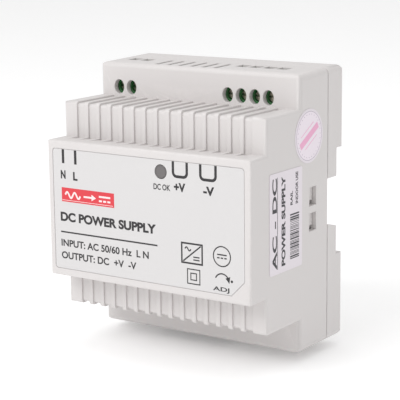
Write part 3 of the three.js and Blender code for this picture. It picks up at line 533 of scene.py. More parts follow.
def cad_shape(node):
    """A CAD node's mesh as a bmesh with each flat face in one piece."""
    shape = bmesh.new()
    shape.from_mesh(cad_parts[node].data)
    bmesh.ops.remove_doubles(shape, verts=shape.verts, dist=WELD)
    bmesh.ops.dissolve_limit(shape, angle_limit=FLAT_WITHIN, verts=shape.verts, edges=shape.edges)
    return shape


def is_sharp_outward(edge, least=math.radians(50)):
    return edge.is_manifold and edge.calc_face_angle_signed() > least


def middle_of(edge):
    return (edge.verts[0].co + edge.verts[1].co) / 2


def round_edges(shape, edges, radius, segments=3):
    bmesh.ops.bevel(shape, geom=list(edges), offset=radius, offset_type="OFFSET", segments=segments,
                    profile=0.5, affect="EDGES", clamp_overlap=False, miter_outer="ARC",
                    miter_inner="SHARP")


def keep_flats_flat(mesh):
    """Ends the smooth shading at every face square to an axis, so that round edges don't shade it."""
    for face in mesh.polygons:
        if max(abs(c) for c in face.normal) > SQUARE_ON:
            for loop in face.loop_indices:
                mesh.edges[mesh.loops[loop].edge_index].use_edge_sharp = True


def add_piece(name, shape, finish, body, slot, *nodes, boxy=False):
    """Turns a bmesh into a piece that rides on a body and may stand for CAD nodes."""
    mesh = bpy.data.meshes.new(name)
    bmesh.ops.recalc_face_normals(shape, faces=shape.faces)
    shape.to_mesh(mesh)
    shape.free()
    mesh.materials.append(material(finish))
    mesh.shade_smooth()
    mesh.set_sharp_from_angle(angle=SMOOTH_UP_TO)
    if boxy:
        keep_flats_flat(mesh)
    piece = bpy.data.objects.new(name, mesh)
    bpy.context.scene.collection.objects.link(piece)
    even = piece.modifiers.new("even_shading", "WEIGHTED_NORMAL")
    even.keep_sharp = True
    even.weight = 80
    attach(piece, body)
    if nodes:
        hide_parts(*nodes)
    return piece


def softened(node, finish, body, slot, radius, least=60, boxy=False):
    """A CAD node's shape with its outward edges rounded where they turn by more than least degrees,
    as a piece that replaces the node."""
    shape = cad_shape(node)
    edges = [e for e in shape.edges if is_sharp_outward(e, math.radians(least))]
    round_edges(shape, edges, radius, 2)
    add_piece(node + "_look", shape, finish, body, slot, node, boxy=boxy)


# ------------------------------------------------------------------ printing on a flat sheet


def thicken(shape, thickness):
    """Raises flat faces by a thickness, and keeps their undersides."""
    raised = bmesh.ops.extrude_face_region(shape, geom=shape.faces[:], use_keep_orig=True)
    tops = [v for v in raised["geom"] if isinstance(v, bmesh.types.BMVert)]
    bmesh.ops.translate(shape, verts=tops, vec=(0.0, 0.0, thickness))


class Sheet:
    """A flat printed face: its lower left corner, the directions along and up it, and out of it."""

    def __init__(self, corner, along, up, out):
        self.corner = Vector(corner)
        self.along = Vector(along)
        self.up = Vector(up)
        self.out = Vector(out)

    def matrix(self, lift=0.0):
        """Carries (x, y, z) to the sheet: x along, y up, z out of it, raised by lift."""
        turn = Matrix((self.along, self.up, self.out)).transposed()
        return Matrix.Translation(self.corner + self.out * lift) @ turn.to_4x4()


class Print:
    """Flat shapes of one ink, gathered in a sheet's own millimetres and then made one piece."""

    def __init__(self, sheet, lift=0.0):
        self.sheet = sheet
        self.lift = lift
        self.shape = bmesh.new()

    def face(self, points):
        verts = [self.shape.verts.new((x * MM, y * MM, 0.0)) for x, y in points]
        self.shape.faces.new(verts)

    def bar(self, x0, x1, y0, y1):
        self.face([(x0, y0), (x1, y0), (x1, y1), (x0, y1)])

    def disc(self, x, y, radius, sides):
        turn = 2 * math.pi / sides
        self.face([(x + radius * math.cos(i * turn), y + radius * math.sin(i * turn)) for i in range(sides)])

    def line(self, points, width, closed=False):
        """A band of the given width along the points, with mitred corners."""
        path = [Vector(p) for p in points]
        count = len(path)
        left = []
        right = []
        for i, point in enumerate(path):
            before = path[i - 1] if i > 0 or closed else point
            after = path[(i + 1) % count] if i < count - 1 or closed else point
            into = (point - before).normalized() if point != before else (after - point).normalized()
            away = (after - point).normalized() if after != point else into
            across = (Vector((-into.y, into.x)) + Vector((-away.y, away.x))).normalized()
            reach = width / 2 / max(0.3, across.dot(Vector((-into.y, into.x))))
            left.append(self.shape.verts.new((*((point + across * reach) * MM), 0.0)))
            right.append(self.shape.verts.new((*((point - across * reach) * MM), 0.0)))
        for i in range(count if closed else count - 1):
            j = (i + 1) % count
            self.shape.faces.new((left[i], right[i], right[j], left[j]))

    def frame(self, x, y, wide, tall, width):
        """A rectangle's outline, centred on (x, y)."""
        left, right, low, high = x - wide / 2, x + wide / 2, y - tall / 2, y + tall / 2
        self.line([(left, low), (right, low), (right, high), (left, high)], width, closed=True)

    def arc(self, x, y, radius, start, end, width):
        """A band round part of a circle, from one angle to another in degrees."""
        steps = 24
        turns = [math.radians(start + (end - start) * i / steps) for i in range(steps + 1)]
        self.line([(x + radius * math.cos(t), y + radius * math.sin(t)) for t in turns], width)

    def ring(self, x, y, radius, width):
        steps = 48
        turns = [2 * math.pi * i / steps for i in range(steps)]
        self.line([(x + radius * math.cos(t), y + radius * math.sin(t)) for t in turns], width, closed=True)

    def letters(self, words, x, y, height, width, weight):
        """Lettering from (x, y), its capitals of that height, drawn out or in to the given width."""
        curve = bpy.data.curves.new("lettering", "FONT")
        curve.body = words
        curve.offset = weight
        curve.fill_mode = "FRONT"
        maker = bpy.data.objects.new("lettering", curve)
        bpy.context.scene.collection.objects.link(maker)
        bpy.context.view_layer.update()
        ready = maker.evaluated_get(bpy.context.evaluated_depsgraph_get())
        mesh = bpy.data.meshes.new_from_object(ready)
        corners = [v.co for v in mesh.vertices]
        low = Vector((min(c.x for c in corners), min(c.y for c in corners)))
        high = Vector((max(c.x for c in corners), max(c.y for c in corners)))
        tall = height / (high.y - low.y)
        wide = width / (high.x - low.x)
        for vertex in mesh.vertices:
            flat = ((vertex.co.x - low.x) * wide + x, (vertex.co.y - low.y) * tall + y)
            vertex.co = (flat[0] * MM, flat[1] * MM, 0.0)
        self.shape.from_mesh(mesh)
        bpy.data.objects.remove(maker)
        bpy.data.curves.remove(curve)
        bpy.data.meshes.remove(mesh)

    def finish(self, name, finish, body, slot):
        """Gives the flat shapes their thickness and puts them on the sheet as one piece."""
        bmesh.ops.remove_doubles(self.shape, verts=self.shape.verts, dist=0.0005 * MM)
        bmesh.ops.recalc_face_normals(self.shape, faces=self.shape.faces)
        for face in self.shape.faces:
            if face.normal.z < 0:
                face.normal_flip()
        thicken(self.shape, settings().printing.ink_height)
        self.shape.transform(self.sheet.matrix(lift=self.lift))
        add_piece(name, self.shape, finish, body, slot)


# ------------------------------------------------------------------ the case


def top_at(y):
    """The height of the rear block's top, which rises a little towards the rail."""
    return HOUSING_HIGH.z - (HOUSING_HIGH.y - y) * settings().case.draft


WALL_INSIDE = 1.7 * MM  # an edge farther in than this is on the shell's inside


def outer_rim(edge, plane_y):
    """True for an edge on the case's outer line in the plane y = plane_y, not on the shell's inside."""
    point = middle_of(edge)
    beside = abs(point.x) > HOUSING_HIGH.x - WALL_INSIDE
    above_or_below = abs(point.z - MIDDLE_Z) > HOUSING_HIGH.z - MIDDLE_Z - WALL_INSIDE
    return abs(point.y - plane_y) < HERE and (beside or above_or_below)


def on_case_face(point):
    """True on the case's flat sides, top or bottom."""
    on_side = abs(abs(point.x) - HOUSING_HIGH.x) < HERE
    on_top = abs(point.z - top_at(point.y)) < HERE or abs(point.z - HOUSING_LOW.z) < HERE
    return on_side or on_top


def front_housing():
    """The stepped shell: ribs, recess, holes and slots all get the soft edges of a moulding."""
    case = settings().case
    shape = cad_shape("front_housing")
    front = HOUSING_LOW.y
    rib_front = front + case.ribbed_step
    rib_back = front + case.top_step
    ribs = []
    rims = []
    recess = []
    for edge in shape.edges:
        if not is_sharp_outward(edge):
            continue
        point = middle_of(edge)
        wall = any(abs(face.normal.x) > 0.99 for face in edge.link_faces)
        if wall and rib_front - HERE < point.y < rib_back - HERE and abs(point.x) < HOUSING_HIGH.x - MM:
            ribs.append(edge)
        elif abs(point.y - front) < HERE:
            recess.append(edge)
        elif on_case_face(point) or outer_rim(edge, HOUSING_HIGH.y) or abs(point.y - rib_back) < HERE:
            rims.append(edge)
    round_edges(shape, recess, case.label_edge, 2)
    rims = [e for e in rims if e.is_valid]
    round_edges(shape, rims, case.rim_edge)
    ribs = [e for e in ribs if e.is_valid]
    round_edges(shape, ribs, case.rib_edge)
    add_piece("front_housing_shell", shape, "case_plastic", "case", "housing", "front_housing", boxy=True)


BEHIND_SEAM = 0.3 * MM
COVER_EDGE_LEAST = 0.8 * MM  # shorter edges of the cover stay sharp
COVER_BACK = 0.1 * MM  # how far before the rail seat an edge still counts as on the back


def rear_cover():
    """The back shell with its rail pocket, hooks and snap arms."""
    case = settings().case
    shape = cad_shape("rear_cover")
    edges = []
    for edge in shape.edges:
        point = middle_of(edge)
        behind_seam = point.y > HOUSING_HIGH.y + BEHIND_SEAM
        if is_sharp_outward(edge) and behind_seam and edge.calc_length() > COVER_EDGE_LEAST:
            if on_case_face(point) or outer_rim(edge, point.y) or point.y > -COVER_BACK:
                edges.append(edge)
    round_edges(shape, edges, case.rim_edge)
    add_piece("rear_cover_shell", shape, "case_plastic", "case", "housing", "rear_cover", boxy=True)


class SUPPLY_OT_case(bpy.types.Operator):
    """Makes the front housing and the rear cover"""

    bl_idname = "supply.case"
    bl_label = "Case"

    def execute(self, context):
        front_housing()
        rear_cover()
        return {"FINISHED"}


# ------------------------------------------------------------------ the rail latch


def add_tube(shape, rings):
    """Joins each ring of points to the next."""
    for before, after in zip(rings, rings[1:]):
        for k in range(len(before)):
            n = (k + 1) % len(before)
            shape.faces.new((before[k], before[n], after[n], after[k]))


def coil(radius, wire, turns, bottom, top, centre):
    """A round wire wound evenly along Z about centre."""
    steps_per_turn = 24
    sides = 10
    shape = bmesh.new()
    rings = []
    steps = int(turns * steps_per_turn)
    for i in range(steps + 1):
        along = i / steps
        turn = 2 * math.pi * turns * along
        middle = Vector((centre.x + radius * math.cos(turn), centre.y + radius * math.sin(turn),
                         bottom + (top - bottom) * along))
        outward = Vector((math.cos(turn), math.sin(turn), 0.0))
        ring = []
        for k in range(sides):
            lean = 2 * math.pi * k / sides
            ring.append(shape.verts.new(middle + outward * wire * math.cos(lean)
                                        + Vector((0.0, 0.0, wire * math.sin(lean)))))
        rings.append(ring)
    add_tube(shape, rings)
    shape.faces.new(reversed(rings[0]))
    shape.faces.new(rings[-1])
    return shape


def latch_spring():
    """The return spring. Its lower end rests on the cover; the latch presses its upper end down."""
    low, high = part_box("latch_spring")
    wire = 0.22 * MM
    centre = (low + high) / 2
    radius = (high.x - low.x) / 2 - wire
    shape = coil(radius, wire, settings().parts.spring_turns, low.z + wire, high.z - wire, centre)
    piece = add_piece("latch_spring_wire", shape, "spring_steel", "case", "steel", "latch_spring")
    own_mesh(piece)


TOOL_SLOT_HALF = 3.3 * MM
TOOL_SLOT_LOW = 0.1 * MM
TOOL_SLOT_HIGH = 1.9 * MM


def rail_latch():
    """The sliding latch. The screwdriver slot in its foot keeps its sharp edges."""
    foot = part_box("rail_latch")[0].z
    shape = cad_shape("rail_latch")
    edges = []
    for edge in shape.edges:
        point = middle_of(edge)
        in_slot = abs(point.x) < TOOL_SLOT_HALF and TOOL_SLOT_LOW < point.z - foot < TOOL_SLOT_HIGH
        if is_sharp_outward(edge) and not in_slot:
            edges.append(edge)
    round_edges(shape, edges, LATCH_EDGE, 2)
    add_piece("rail_latch_look", shape, "latch_plastic", "rail_latch", "latch", "rail_latch", boxy=True)


class SUPPLY_OT_latch(bpy.types.Operator):
    """Makes the rail latch and its return spring"""

    bl_idname = "supply.latch"
    bl_label = "Rail latch"

    def execute(self, context):
        rail_latch()
        latch_spring()
        return {"FINISHED"}


# ------------------------------------------------------------------ labels


def front_sheet():
    """The front label's face: along it runs right, up it runs up."""
    return Sheet(LABEL_LOW, (1, 0, 0), (0, 0, 1), (0, -1, 0))


LABEL_TALL = (LABEL_HIGH.z - LABEL_LOW.z) / MM


def terminal_marks(ink):
    """Lines from the label's top edge to the letters of each terminal pair."""
    top = LABEL_TALL - 0.05
    foot = 34.9
    for x in (4.2, 9.25):
        ink.bar(x - 0.5, x + 0.5, foot + 0.1, top)
    for x0, x1 in ((47.65, 52.8), (57.8, 63.35)):
        corner = 1.3
        turns = (math.pi / 8, math.pi / 4, 3 * math.pi / 8)
        path = [(x0, top), (x0, foot + corner)]
        path += [(x0 + corner - corner * math.cos(a), foot + corner - corner * math.sin(a)) for a in turns]
        path += [(x0 + corner, foot), (x1 - corner, foot)]
        path += [(x1 - corner + corner * math.sin(a), foot + corner - corner * math.cos(a)) for a in turns]
        path += [(x1, foot + corner), (x1, top)]
        ink.line(path, 0.9)
    ink.letters("N", 3.05, 29.9, 2.8, 2.0, weight=0.045)
    ink.letters("L", 8.15, 29.7, 2.8, 1.8, weight=0.045)
    ink.letters("+V", 47.9, 30.2, 2.8, 4.3, weight=0.045)
    ink.letters("-V", 58.8, 30.1, 2.8, 4.0, weight=0.045)
    ink.letters("DC OK", 40.15, 30.1, 1.9, 6.4, weight=0.025)


def title_lines(ink):
    """The heading, the rule under it and two lines that say what goes in and out."""
    ink.letters("DC POWER SUPPLY", 2.5, 15.8, 3.1, 38.35, weight=0.045)
    ink.bar(2.46, 41.3, 12.0, 12.5)
    ink.letters("INPUT: AC 50/60 Hz  L N", 2.5, 7.45, 2.4, 35.35, weight=0.026)
    ink.letters("OUTPUT: DC  +V  -V", 2.5, 3.3, 2.4, 30.4, weight=0.026)


def converter_symbol(ink, x, y):
    """A box with a diagonal: a wave on one side and two level lines on the other."""
    wide = 7.6
    tall = 6.2
    left = x - wide / 2
    low = y - tall / 2
    ink.frame(x, y, wide, tall, 0.55)
    ink.line([(left + 0.5, low + 0.45), (left + wide - 0.5, low + tall - 0.45)], 0.45)
    wave = [(left + 1.2 + 0.14 * i, low + tall - 1.75 + 0.55 * math.sin(i * math.pi / 8)) for i in range(17)]
    ink.line(wave, 0.42)
    ink.bar(left + 4.3, left + 6.6, low + 1.9, low + 2.3)
    ink.bar(left + 4.3, left + 6.6, low + 1.0, low + 1.4)


def direct_current_symbol(ink, x, y):
    """A ring round a level line over three dashes."""
    ink.ring(x, y, 3.1, 0.38)
    ink.bar(x - 1.75, x + 1.75, y + 0.3, y + 0.72)
    for i in range(3):
        start = x - 1.75 + i * 1.3
        ink.bar(start, start + 0.9, y - 0.72, y - 0.3)


def adjust_marks(ink):
    """Two squares, one in the other, and a turning arrow with a dot for the trimmer."""
    for side in (4.6, 2.1):
        ink.frame(54.9, 4.05, side, side, 0.35)
    ink.arc(65.4, 3.8, 2.6, 155, 35, 0.42)
    ink.face([(68.05, 3.6), (66.65, 5.1), (68.35, 5.8)])
    ink.disc(68.95, 4.4, 0.42, 16)
    ink.letters("ADJ", 62.05, 0.45, 1.75, 6.0, weight=0.02)


def banner_marks(ink, low, high):
    """A wave, an arrow and level lines, knocked out of the coloured bar."""
    middle = (low + high) / 2
    wave = [(4.75 + 0.22 * i, middle + 0.95 * math.sin(i * math.pi / 7)) for i in range(29)]
    ink.line(wave, 0.6)
    ink.bar(12.3, 15.5, middle - 0.3, middle + 0.3)
    ink.face([(15.5, middle - 1.05), (17.3, middle), (15.5, middle + 1.05)])
    ink.bar(18.5, 23.1, middle + 0.4, middle + 1.0)
    for i in range(3):
        start = 18.5 + i * 1.7
        ink.bar(start, start + 1.2, middle - 1.0, middle - 0.4)
    ink.bar(3.5, 24.1, low + 0.45, low + 0.6)


def front_label():
    """The film in the recess, cut round the status window, and its printing."""
    softened("front_label", "label_film", "case", "label", FILM_EDGE, least=50)
    ink = Print(front_sheet())
    terminal_marks(ink)
    title_lines(ink)
    converter_symbol(ink, 54.35, 11.3)
    direct_current_symbol(ink, 65.4, 11.8)
    adjust_marks(ink)
    ink.finish("front_label_black_print", "black_ink", "case", "label")
    low, high = 22.4, 27.05
    bar = Print(front_sheet())
    bar.bar(3.25, 24.6, low, high)
    bar.finish("front_label_banner", "banner_ink", "case", "label")
    marks = Print(front_sheet(), settings().printing.ink_height)
    banner_marks(marks, low, high)
    marks.finish("front_label_banner_marks", "banner_mark_ink", "case", "label")


def side_sheet(node):
    """The right side's sheet at a sticker: along it runs back, up it runs up."""
    return Sheet(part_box(node)[0], (0, 1, 0), (0, 0, 1), (1, 0, 0))


def sticker_base(node, points, thickness):
    """A thin flat sticker with the given outline, in the sheet's own millimetres."""
    shape = bmesh.new()
    verts = [shape.verts.new((x * MM, y * MM, 0.0)) for x, y in points]
    shape.faces.new(verts)
    thicken(shape, thickness)
    shape.transform(side_sheet(node).matrix())
    return shape


def rounded_points(wide, tall, radius):
    """The outline of a rectangle from (0, 0) with rounded corners."""
    steps = 6
    points = []
    corners = ((wide - radius, radius, -90), (wide - radius, tall - radius, 0),
               (radius, tall - radius, 90), (radius, radius, 180))
    for x, y, start in corners:
        for i in range(steps + 1):
            turn = math.radians(start + 90 * i / steps)
            points.append((x + radius * math.cos(turn), y + radius * math.sin(turn)))
    return points


STICKER_THICKNESS = 0.12 * MM
SEAL_THICKNESS = 0.08 * MM


def bar_pattern(ink, x0, x1, y0, y1, seed):
    """Bars of uneven width from y0 to y1, like the bars of a stock number."""
    rolls = random.Random(seed)
    y = y0
    while y < y1 - 0.5:
        bar = rolls.choice((0.18, 0.18, 0.34, 0.5))
        gap = rolls.choice((0.2, 0.2, 0.36))
        ink.bar(x0, x1, y, y + bar)
        y += bar + gap


def upright(ink, words, x, y0, y1, height, weight):
    """Lettering that reads upward, its foot towards the rear, from y0 to y1 and centred on x."""
    turned = Print(ink.sheet)
    turned.letters(words, 0.0, 0.0, height, y1 - y0, weight)
    turned.shape.transform(Matrix.Translation((
        (x + height / 2) * MM, y0 * MM, 0.0)) @ Matrix.Rotation(math.pi / 2, 4, "Z"))
    mesh = bpy.data.meshes.new("turned")
    turned.shape.to_mesh(mesh)
    turned.shape.free()
    ink.shape.from_mesh(mesh)
    bpy.data.meshes.remove(mesh)


def rating_sticker():
    """The plain sticker on the right side with generic words and bars that read upward."""
    low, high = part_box("rating_sticker")
    wide = (high.y - low.y) / MM
    tall = (high.z - low.z) / MM
    base = sticker_base("rating_sticker", rounded_points(wide, tall, 0.8), STICKER_THICKNESS)
    add_piece("rating_sticker_paper", base, "sticker_paper", "case", "label", "rating_sticker")
    ink = Print(side_sheet("rating_sticker"), STICKER_THICKNESS)
    upright(ink, "AC - DC", 2.9, 1.5, 30.2, 2.7, weight=0.03)
    ink.bar(4.4, 4.65, 1.5, 30.4)
    upright(ink, "POWER SUPPLY", 8.05, 2.0, 30.3, 2.3, weight=0.045)
    upright(ink, "RAIL", 12.9, 20.4, 24.8, 1.4, weight=0.03)
    upright(ink, "INDOOR USE", 16.1, 20.4, 30.5, 1.5, weight=0.03)
    bar_pattern(ink, 12.1, 17.5, 3.2, 18.0, seed=7)
    ink.finish("rating_sticker_print", "sticker_ink", "case", "label")


def round_sticker():
    """The round seal: a pale rim, a lilac field with a dotted ring, and a band across it."""
    low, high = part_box("round_sticker")
    radius = (high.z - low.z) / 2 / MM
    turns = [2 * math.pi * i / 96 for i in range(96)]
    circle = [(radius + radius * math.cos(t), radius + radius * math.sin(t)) for t in turns]
    base = sticker_base("round_sticker", circle, SEAL_THICKNESS)
    add_piece("round_sticker_paper", base, "sticker_paper", "case", "seal", "round_sticker")
    sheet = side_sheet("round_sticker")
    on_field = SEAL_THICKNESS + settings().printing.ink_height
    field = Print(sheet, SEAL_THICKNESS)
    field.disc(radius, radius, radius - 0.75, 72)
    field.finish("round_sticker_field", "seal_film", "case", "seal")
    dots = Print(sheet, on_field)
    for i in range(28):
        turn = 2 * math.pi * i / 28
        reach = radius - 1.7
        dots.disc(radius + reach * math.cos(turn), radius + reach * math.sin(turn), 0.17, 8)
    dots.ring(radius, radius, radius - 0.85, 0.16)
    dots.finish("round_sticker_lines", "seal_line_ink", "case", "seal")
    band = Print(sheet, on_field)
    lean = math.radians(29)
    reach = 6.2
    along = Vector((math.cos(lean), math.sin(lean))) * reach
    middle = Vector((radius, radius))
    band.line([middle - along, middle + along], 2.1)
    for offset, half in ((2.4, 4.3), (-2.4, 4.0)):
        across = Vector((-math.sin(lean), math.cos(lean))) * offset
        short = along * (half / reach)
        band.line([middle + across - short, middle + across + short], 0.25)
    band.finish("round_sticker_band", "seal_band_ink", "case", "seal")


class SUPPLY_OT_front_label(bpy.types.Operator):
    """Makes the front label and its printing"""

    bl_idname = "supply.front_label"
    bl_label = "Front label"

    def execute(self, context):
        front_label()
        return {"FINISHED"}


class SUPPLY_OT_side_stickers(bpy.types.Operator):
    """Makes the two stickers on the right side"""

    bl_idname = "supply.side_stickers"
    bl_label = "Side stickers"

    def execute(self, context):
        rating_sticker()
        round_sticker()
        return {"FINISHED"}


# ------------------------------------------------------------------ status light


class SUPPLY_OT_status_light(bpy.types.Operator):
    """Makes the status window, the lamp behind it and the lamp's spacer"""

    bl_idname = "supply.status_light"
    bl_label = "Status light"

    def execute(self, context):
        softened("status_window", "window_lens", "case", "lens", LENS_EDGE)
        softened("status_led", "led_resin", "case", "led", MOULDED_EDGE)
        softened("led_spacer", "black_epoxy", "case", "epoxy", MOULDED_EDGE)
        return {"FINISHED"}


# ------------------------------------------------------------------ terminals


class SUPPLY_OT_terminals(bpy.types.Operator):
    """Makes the terminal blocks with their screws, clamp cages and contact tongues"""

    bl_idname = "supply.terminals"
    bl_label = "Terminals"

    def execute(self, context):
        for node in ("input_terminal_block", "output_terminal_block"):
            softened(node, "terminal_plastic", "case", "terminal", MOULDED_EDGE, boxy=True)
        for pole in POLES:
            screw = "terminal_screw_" + pole
            cage = "clamp_cage_" + pole
            softened(screw, "plated_steel", screw, "steel", SCREW_EDGE)
            softened(cage, "plated_steel", cage, "steel", MOULDED_EDGE)
            softened("contact_tongue_" + pole, "tinned_copper", "case", "tinned", SHEET_EDGE)
        return {"FINISHED"}


# ------------------------------------------------------------------ circuit


def add_wire_turn(shape, centre, half_wide, half_tall, along, out, wire):
    """One closed turn of round wire, a rounded rectangle spanned by the directions along and out."""
    sides = 8
    corner = 1.0 * MM
    across = along.cross(out)
    rings = []
    for quarter in range(4):
        sign_a = (1, -1, -1, 1)[quarter]
        sign_b = (1, 1, -1, -1)[quarter]
        bend = centre + along * sign_a * (half_wide - corner) + out * sign_b * (half_tall - corner)
        for i in range(4):
            turn = math.pi / 2 * (quarter + i / 3)
            outward = along * math.cos(turn) + out * math.sin(turn)
            rings.append([shape.verts.new(
                bend + outward * (corner + wire * math.cos(2 * math.pi * k / sides))
                + across * (wire * math.sin(2 * math.pi * k / sides))) for k in range(sides)])
    add_tube(shape, [*rings, rings[0]])


CHOKE_WIRE = 0.34 * MM
CHOKE_CLEAR = 0.4 * MM  # from the core's faces to the middle of the wire
CHOKE_START = 22  # degrees round the core at which a winding starts
CHOKE_SPAN = 136  # degrees from its first turn to its last


def choke_winding(node, side):
    """One of the choke's windings: separate turns of enamelled wire round the ring core."""
    low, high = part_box("choke_core")
    centre = (low + high) / 2
    outer = (high.z - low.z) / 2
    inner = settings().parts.choke_bore / 2
    turns = settings().parts.choke_turns
    half_wide = (high.x - low.x) / 2 + CHOKE_CLEAR
    half_tall = (outer - inner) / 2 + CHOKE_CLEAR
    along = Vector((1.0, 0.0, 0.0))
    shape = bmesh.new()
    for i in range(turns):
        turn = math.radians(CHOKE_START + CHOKE_SPAN * i / (turns - 1)) * side
        out = Vector((0.0, math.cos(turn), math.sin(turn)))
        middle = centre + out * (outer + inner) / 2
        add_wire_turn(shape, middle, half_wide, half_tall, along, out, CHOKE_WIRE)
    add_piece(node + "_turns", shape, "enamelled_copper", "case", "copper", node)


def plain_parts(rows):
    for node, finish, slot in rows:
        softened(node, finish, "case", slot, settings().parts.part_edge)


class SUPPLY_OT_board(bpy.types.Operator):
    """Makes the circuit board and its screws"""

    bl_idname = "supply.board"
    bl_label = "Circuit board"

    def execute(self, context):
        softened("main_board", "board_laminate", "case", "board", SHEET_EDGE)
        for i in range(4):
            softened(f"board_screw_{i + 1}", "plated_steel", "case", "steel", SCREW_EDGE)
        return {"FINISHED"}


class SUPPLY_OT_mains_parts(bpy.types.Operator):
    """Makes the parts that filter and rectify the mains"""

    bl_idname = "supply.mains_parts"
    bl_label = "Mains parts"

    def execute(self, context):
        plain_parts([
            ("fuse", "black_epoxy", "epoxy"),
            ("inrush_thermistor", "ferrite", "ferrite"),
            ("surge_varistor", "blue_coating", "disc"),
            ("mains_filter_capacitor", "yellow_film", "film"),
            ("choke_core", "ferrite", "ferrite"),
            ("choke_base", "black_epoxy", "epoxy"),
            ("bridge_rectifier", "black_epoxy", "epoxy"),
            ("bulk_capacitor", "capacitor_sleeve", "sleeve"),
        ])
        choke_winding("choke_winding_upper", 1)
        choke_winding("choke_winding_lower", -1)
        return {"FINISHED"}


class SUPPLY_OT_power_parts(bpy.types.Operator):
    """Makes the transformer, the heat sinks and the power packages on them"""

    bl_idname = "supply.power_parts"
    bl_label = "Power parts"

    def execute(self, context):
        plain_parts([
            ("transformer_core", "ferrite", "ferrite"),
            ("transformer_bobbin", "black_epoxy", "epoxy"),
            ("transformer_winding", "yellow_film", "film"),
            ("primary_heat_sink", "sheet_aluminium", "aluminium"),
            ("switching_transistor", "black_epoxy", "epoxy"),
            ("output_heat_sink", "sheet_aluminium", "aluminium"),
            ("output_diode", "black_epoxy", "epoxy"),
        ])
        return {"FINISHED"}


class SUPPLY_OT_output_parts(bpy.types.Operator):
    """Makes the output filter, the control parts and the trimmer"""

    bl_idname = "supply.output_parts"
    bl_label = "Output parts"

    def execute(self, context):
        plain_parts([
            ("output_capacitor_1", "capacitor_sleeve", "sleeve"),
            ("output_capacitor_2", "capacitor_sleeve", "sleeve"),
            ("output_inductor", "ferrite", "ferrite"),
            ("interference_capacitor", "blue_coating", "disc"),
            ("optocoupler", "black_epoxy", "epoxy"),
            ("pwm_controller", "black_epoxy", "epoxy"),
            ("trimmer_body", "blue_coating", "disc"),
        ])
        softened("trimmer_rotor", "latch_plastic", "trimmer_rotor", "latch", SCREW_EDGE)
        return {"FINISHED"}


# ------------------------------------------------------------------ studio


LIGHTS = {  # where it stands, what it points at and how wide it is
    "key_light": ((-0.28, -0.95, 0.82), (0.0, -0.02, 0.0), 0.7),
    "top_light": ((0.1, -0.1, 1.1), (0.0, 0.0, 0.0), 0.8),
}
FLOOR_REACH = 4.0  # from its middle to its edges
FLOOR_GAP = 0.1 * MM  # from the object down to it
AIM_FROM_CORNER = Vector((0.83, 29.29, 46.43)) * MM  # from the middle of the case's lower front edge


def floor_material():
    """Pale, faintly uneven paper that gives off a little light of its own."""
    paper = material("pale_floor")
    shader = paper.node_tree.nodes["Principled BSDF"]
    shader.inputs["Emission Color"].default_value = (1.0, 1.0, 1.0, 1.0)
    shader.inputs["Emission Strength"].default_value = settings().studio.floor_glow
    return paper


def add_floor():
    mesh = bpy.data.meshes.new("floor")
    level = CAD_BOX[0].z - FLOOR_GAP
    corners = [(x * FLOOR_REACH, y * FLOOR_REACH, level) for x, y in ((-1, -1), (1, -1), (1, 1), (-1, 1))]
    mesh.from_pydata(corners, [], [(0, 1, 2, 3)])
    mesh.materials.append(floor_material())
    floor = bpy.data.objects.new("floor", mesh)
    bpy.context.scene.collection.objects.link(floor)


def add_sky(strength):
    world = bpy.data.worlds.new("white_surroundings")
    world.use_nodes = True
    background = world.node_tree.nodes["Background"]
    background.inputs["Color"].default_value = (1.0, 1.0, 1.0, 1.0)
    background.inputs["Strength"].default_value = strength
    bpy.context.scene.world = world


def add_area_light(name, power):
    place, aim, size = LIGHTS[name]
    light = bpy.data.lights.new(name, "AREA")
    light.shape = "SQUARE"
    light.size = size
    light.energy = power
    lamp = bpy.data.objects.new(name, light)
    lamp.location = place
    lamp.rotation_euler = (Vector(aim) - Vector(place)).to_track_quat("-Z", "Y").to_euler()
    bpy.context.scene.collection.objects.link(lamp)


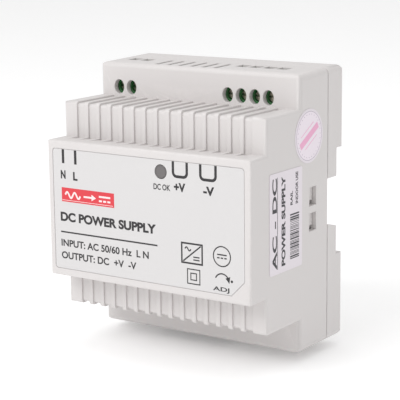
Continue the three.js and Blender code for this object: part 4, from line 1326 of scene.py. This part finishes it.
def add_camera(studio):
    """A camera that looks at a point near the middle of the case."""
    aim = Vector((0.0, HOUSING_LOW.y, HOUSING_LOW.z)) + AIM_FROM_CORNER
    azimuth, elevation, roll = studio.azimuth, studio.elevation, studio.roll
    forward = Vector((-math.sin(azimuth) * math.cos(elevation), math.cos(azimuth) * math.cos(elevation),
                      -math.sin(elevation)))
    level = forward.cross(Vector((0.0, 0.0, 1.0))).normalized()
    above = level.cross(forward)
    right = level * math.cos(roll) + above * math.sin(roll)
    up = above * math.cos(roll) - level * math.sin(roll)
    data = bpy.data.cameras.new("camera")
    data.lens = studio.lens
    data.sensor_width = 36.0
    data.clip_start = 0.01
    data.clip_end = 20.0
    camera = bpy.data.objects.new("camera", data)
    turn = Matrix((right, up, -forward)).transposed()
    camera.matrix_world = Matrix.Translation(aim - forward * studio.distance) @ turn.to_4x4()
    bpy.context.scene.collection.objects.link(camera)
    bpy.context.scene.camera = camera


class SUPPLY_OT_studio(bpy.types.Operator):
    """Makes the floor, the soft light and the camera"""

    bl_idname = "supply.studio"
    bl_label = "Studio"

    def execute(self, context):
        studio = settings().studio
        add_floor()
        add_sky(studio.sky)
        add_area_light("key_light", studio.key)
        add_area_light("top_light", studio.top)
        add_camera(studio)
        context.scene.view_settings.view_transform = "Standard"
        return {"FINISHED"}


# ------------------------------------------------------------------ panel and run


OPERATORS = (
    SUPPLY_OT_case,
    SUPPLY_OT_latch,
    SUPPLY_OT_front_label,
    SUPPLY_OT_side_stickers,
    SUPPLY_OT_status_light,
    SUPPLY_OT_terminals,
    SUPPLY_OT_board,
    SUPPLY_OT_mains_parts,
    SUPPLY_OT_power_parts,
    SUPPLY_OT_output_parts,
    SUPPLY_OT_studio,
)


class SUPPLY_PT_panel(bpy.types.Panel):
    """Buttons and settings for the power supply"""

    bl_idname = "SUPPLY_PT_panel"
    bl_label = "Rail power supply"
    bl_space_type = "VIEW_3D"
    bl_region_type = "UI"
    bl_category = "Supply"

    def draw(self, context):
        for operator in OPERATORS:
            self.layout.operator(operator.bl_idname)
        for group_name in ("case", "printing", "parts", "studio"):
            box = self.layout.box()
            values = getattr(settings(), group_name)
            for name in values.__annotations__:
                box.prop(values, name)


CLASSES = (CaseSettings, PrintSettings, PartSettings, StudioSettings, SupplySettings, *OPERATORS,
           SUPPLY_PT_panel)


def register():
    for item in CLASSES:
        bpy.utils.register_class(item)
    bpy.types.Scene.rail_supply = bpy.props.PointerProperty(type=SupplySettings)


def unregister():
    del bpy.types.Scene.rail_supply
    for item in reversed(CLASSES):
        bpy.utils.unregister_class(item)


def main():
    register()
    for operator in OPERATORS:
        family, name = operator.bl_idname.split(".")
        getattr(getattr(bpy.ops, family), name)()


if __name__ == "__main__":
    main()
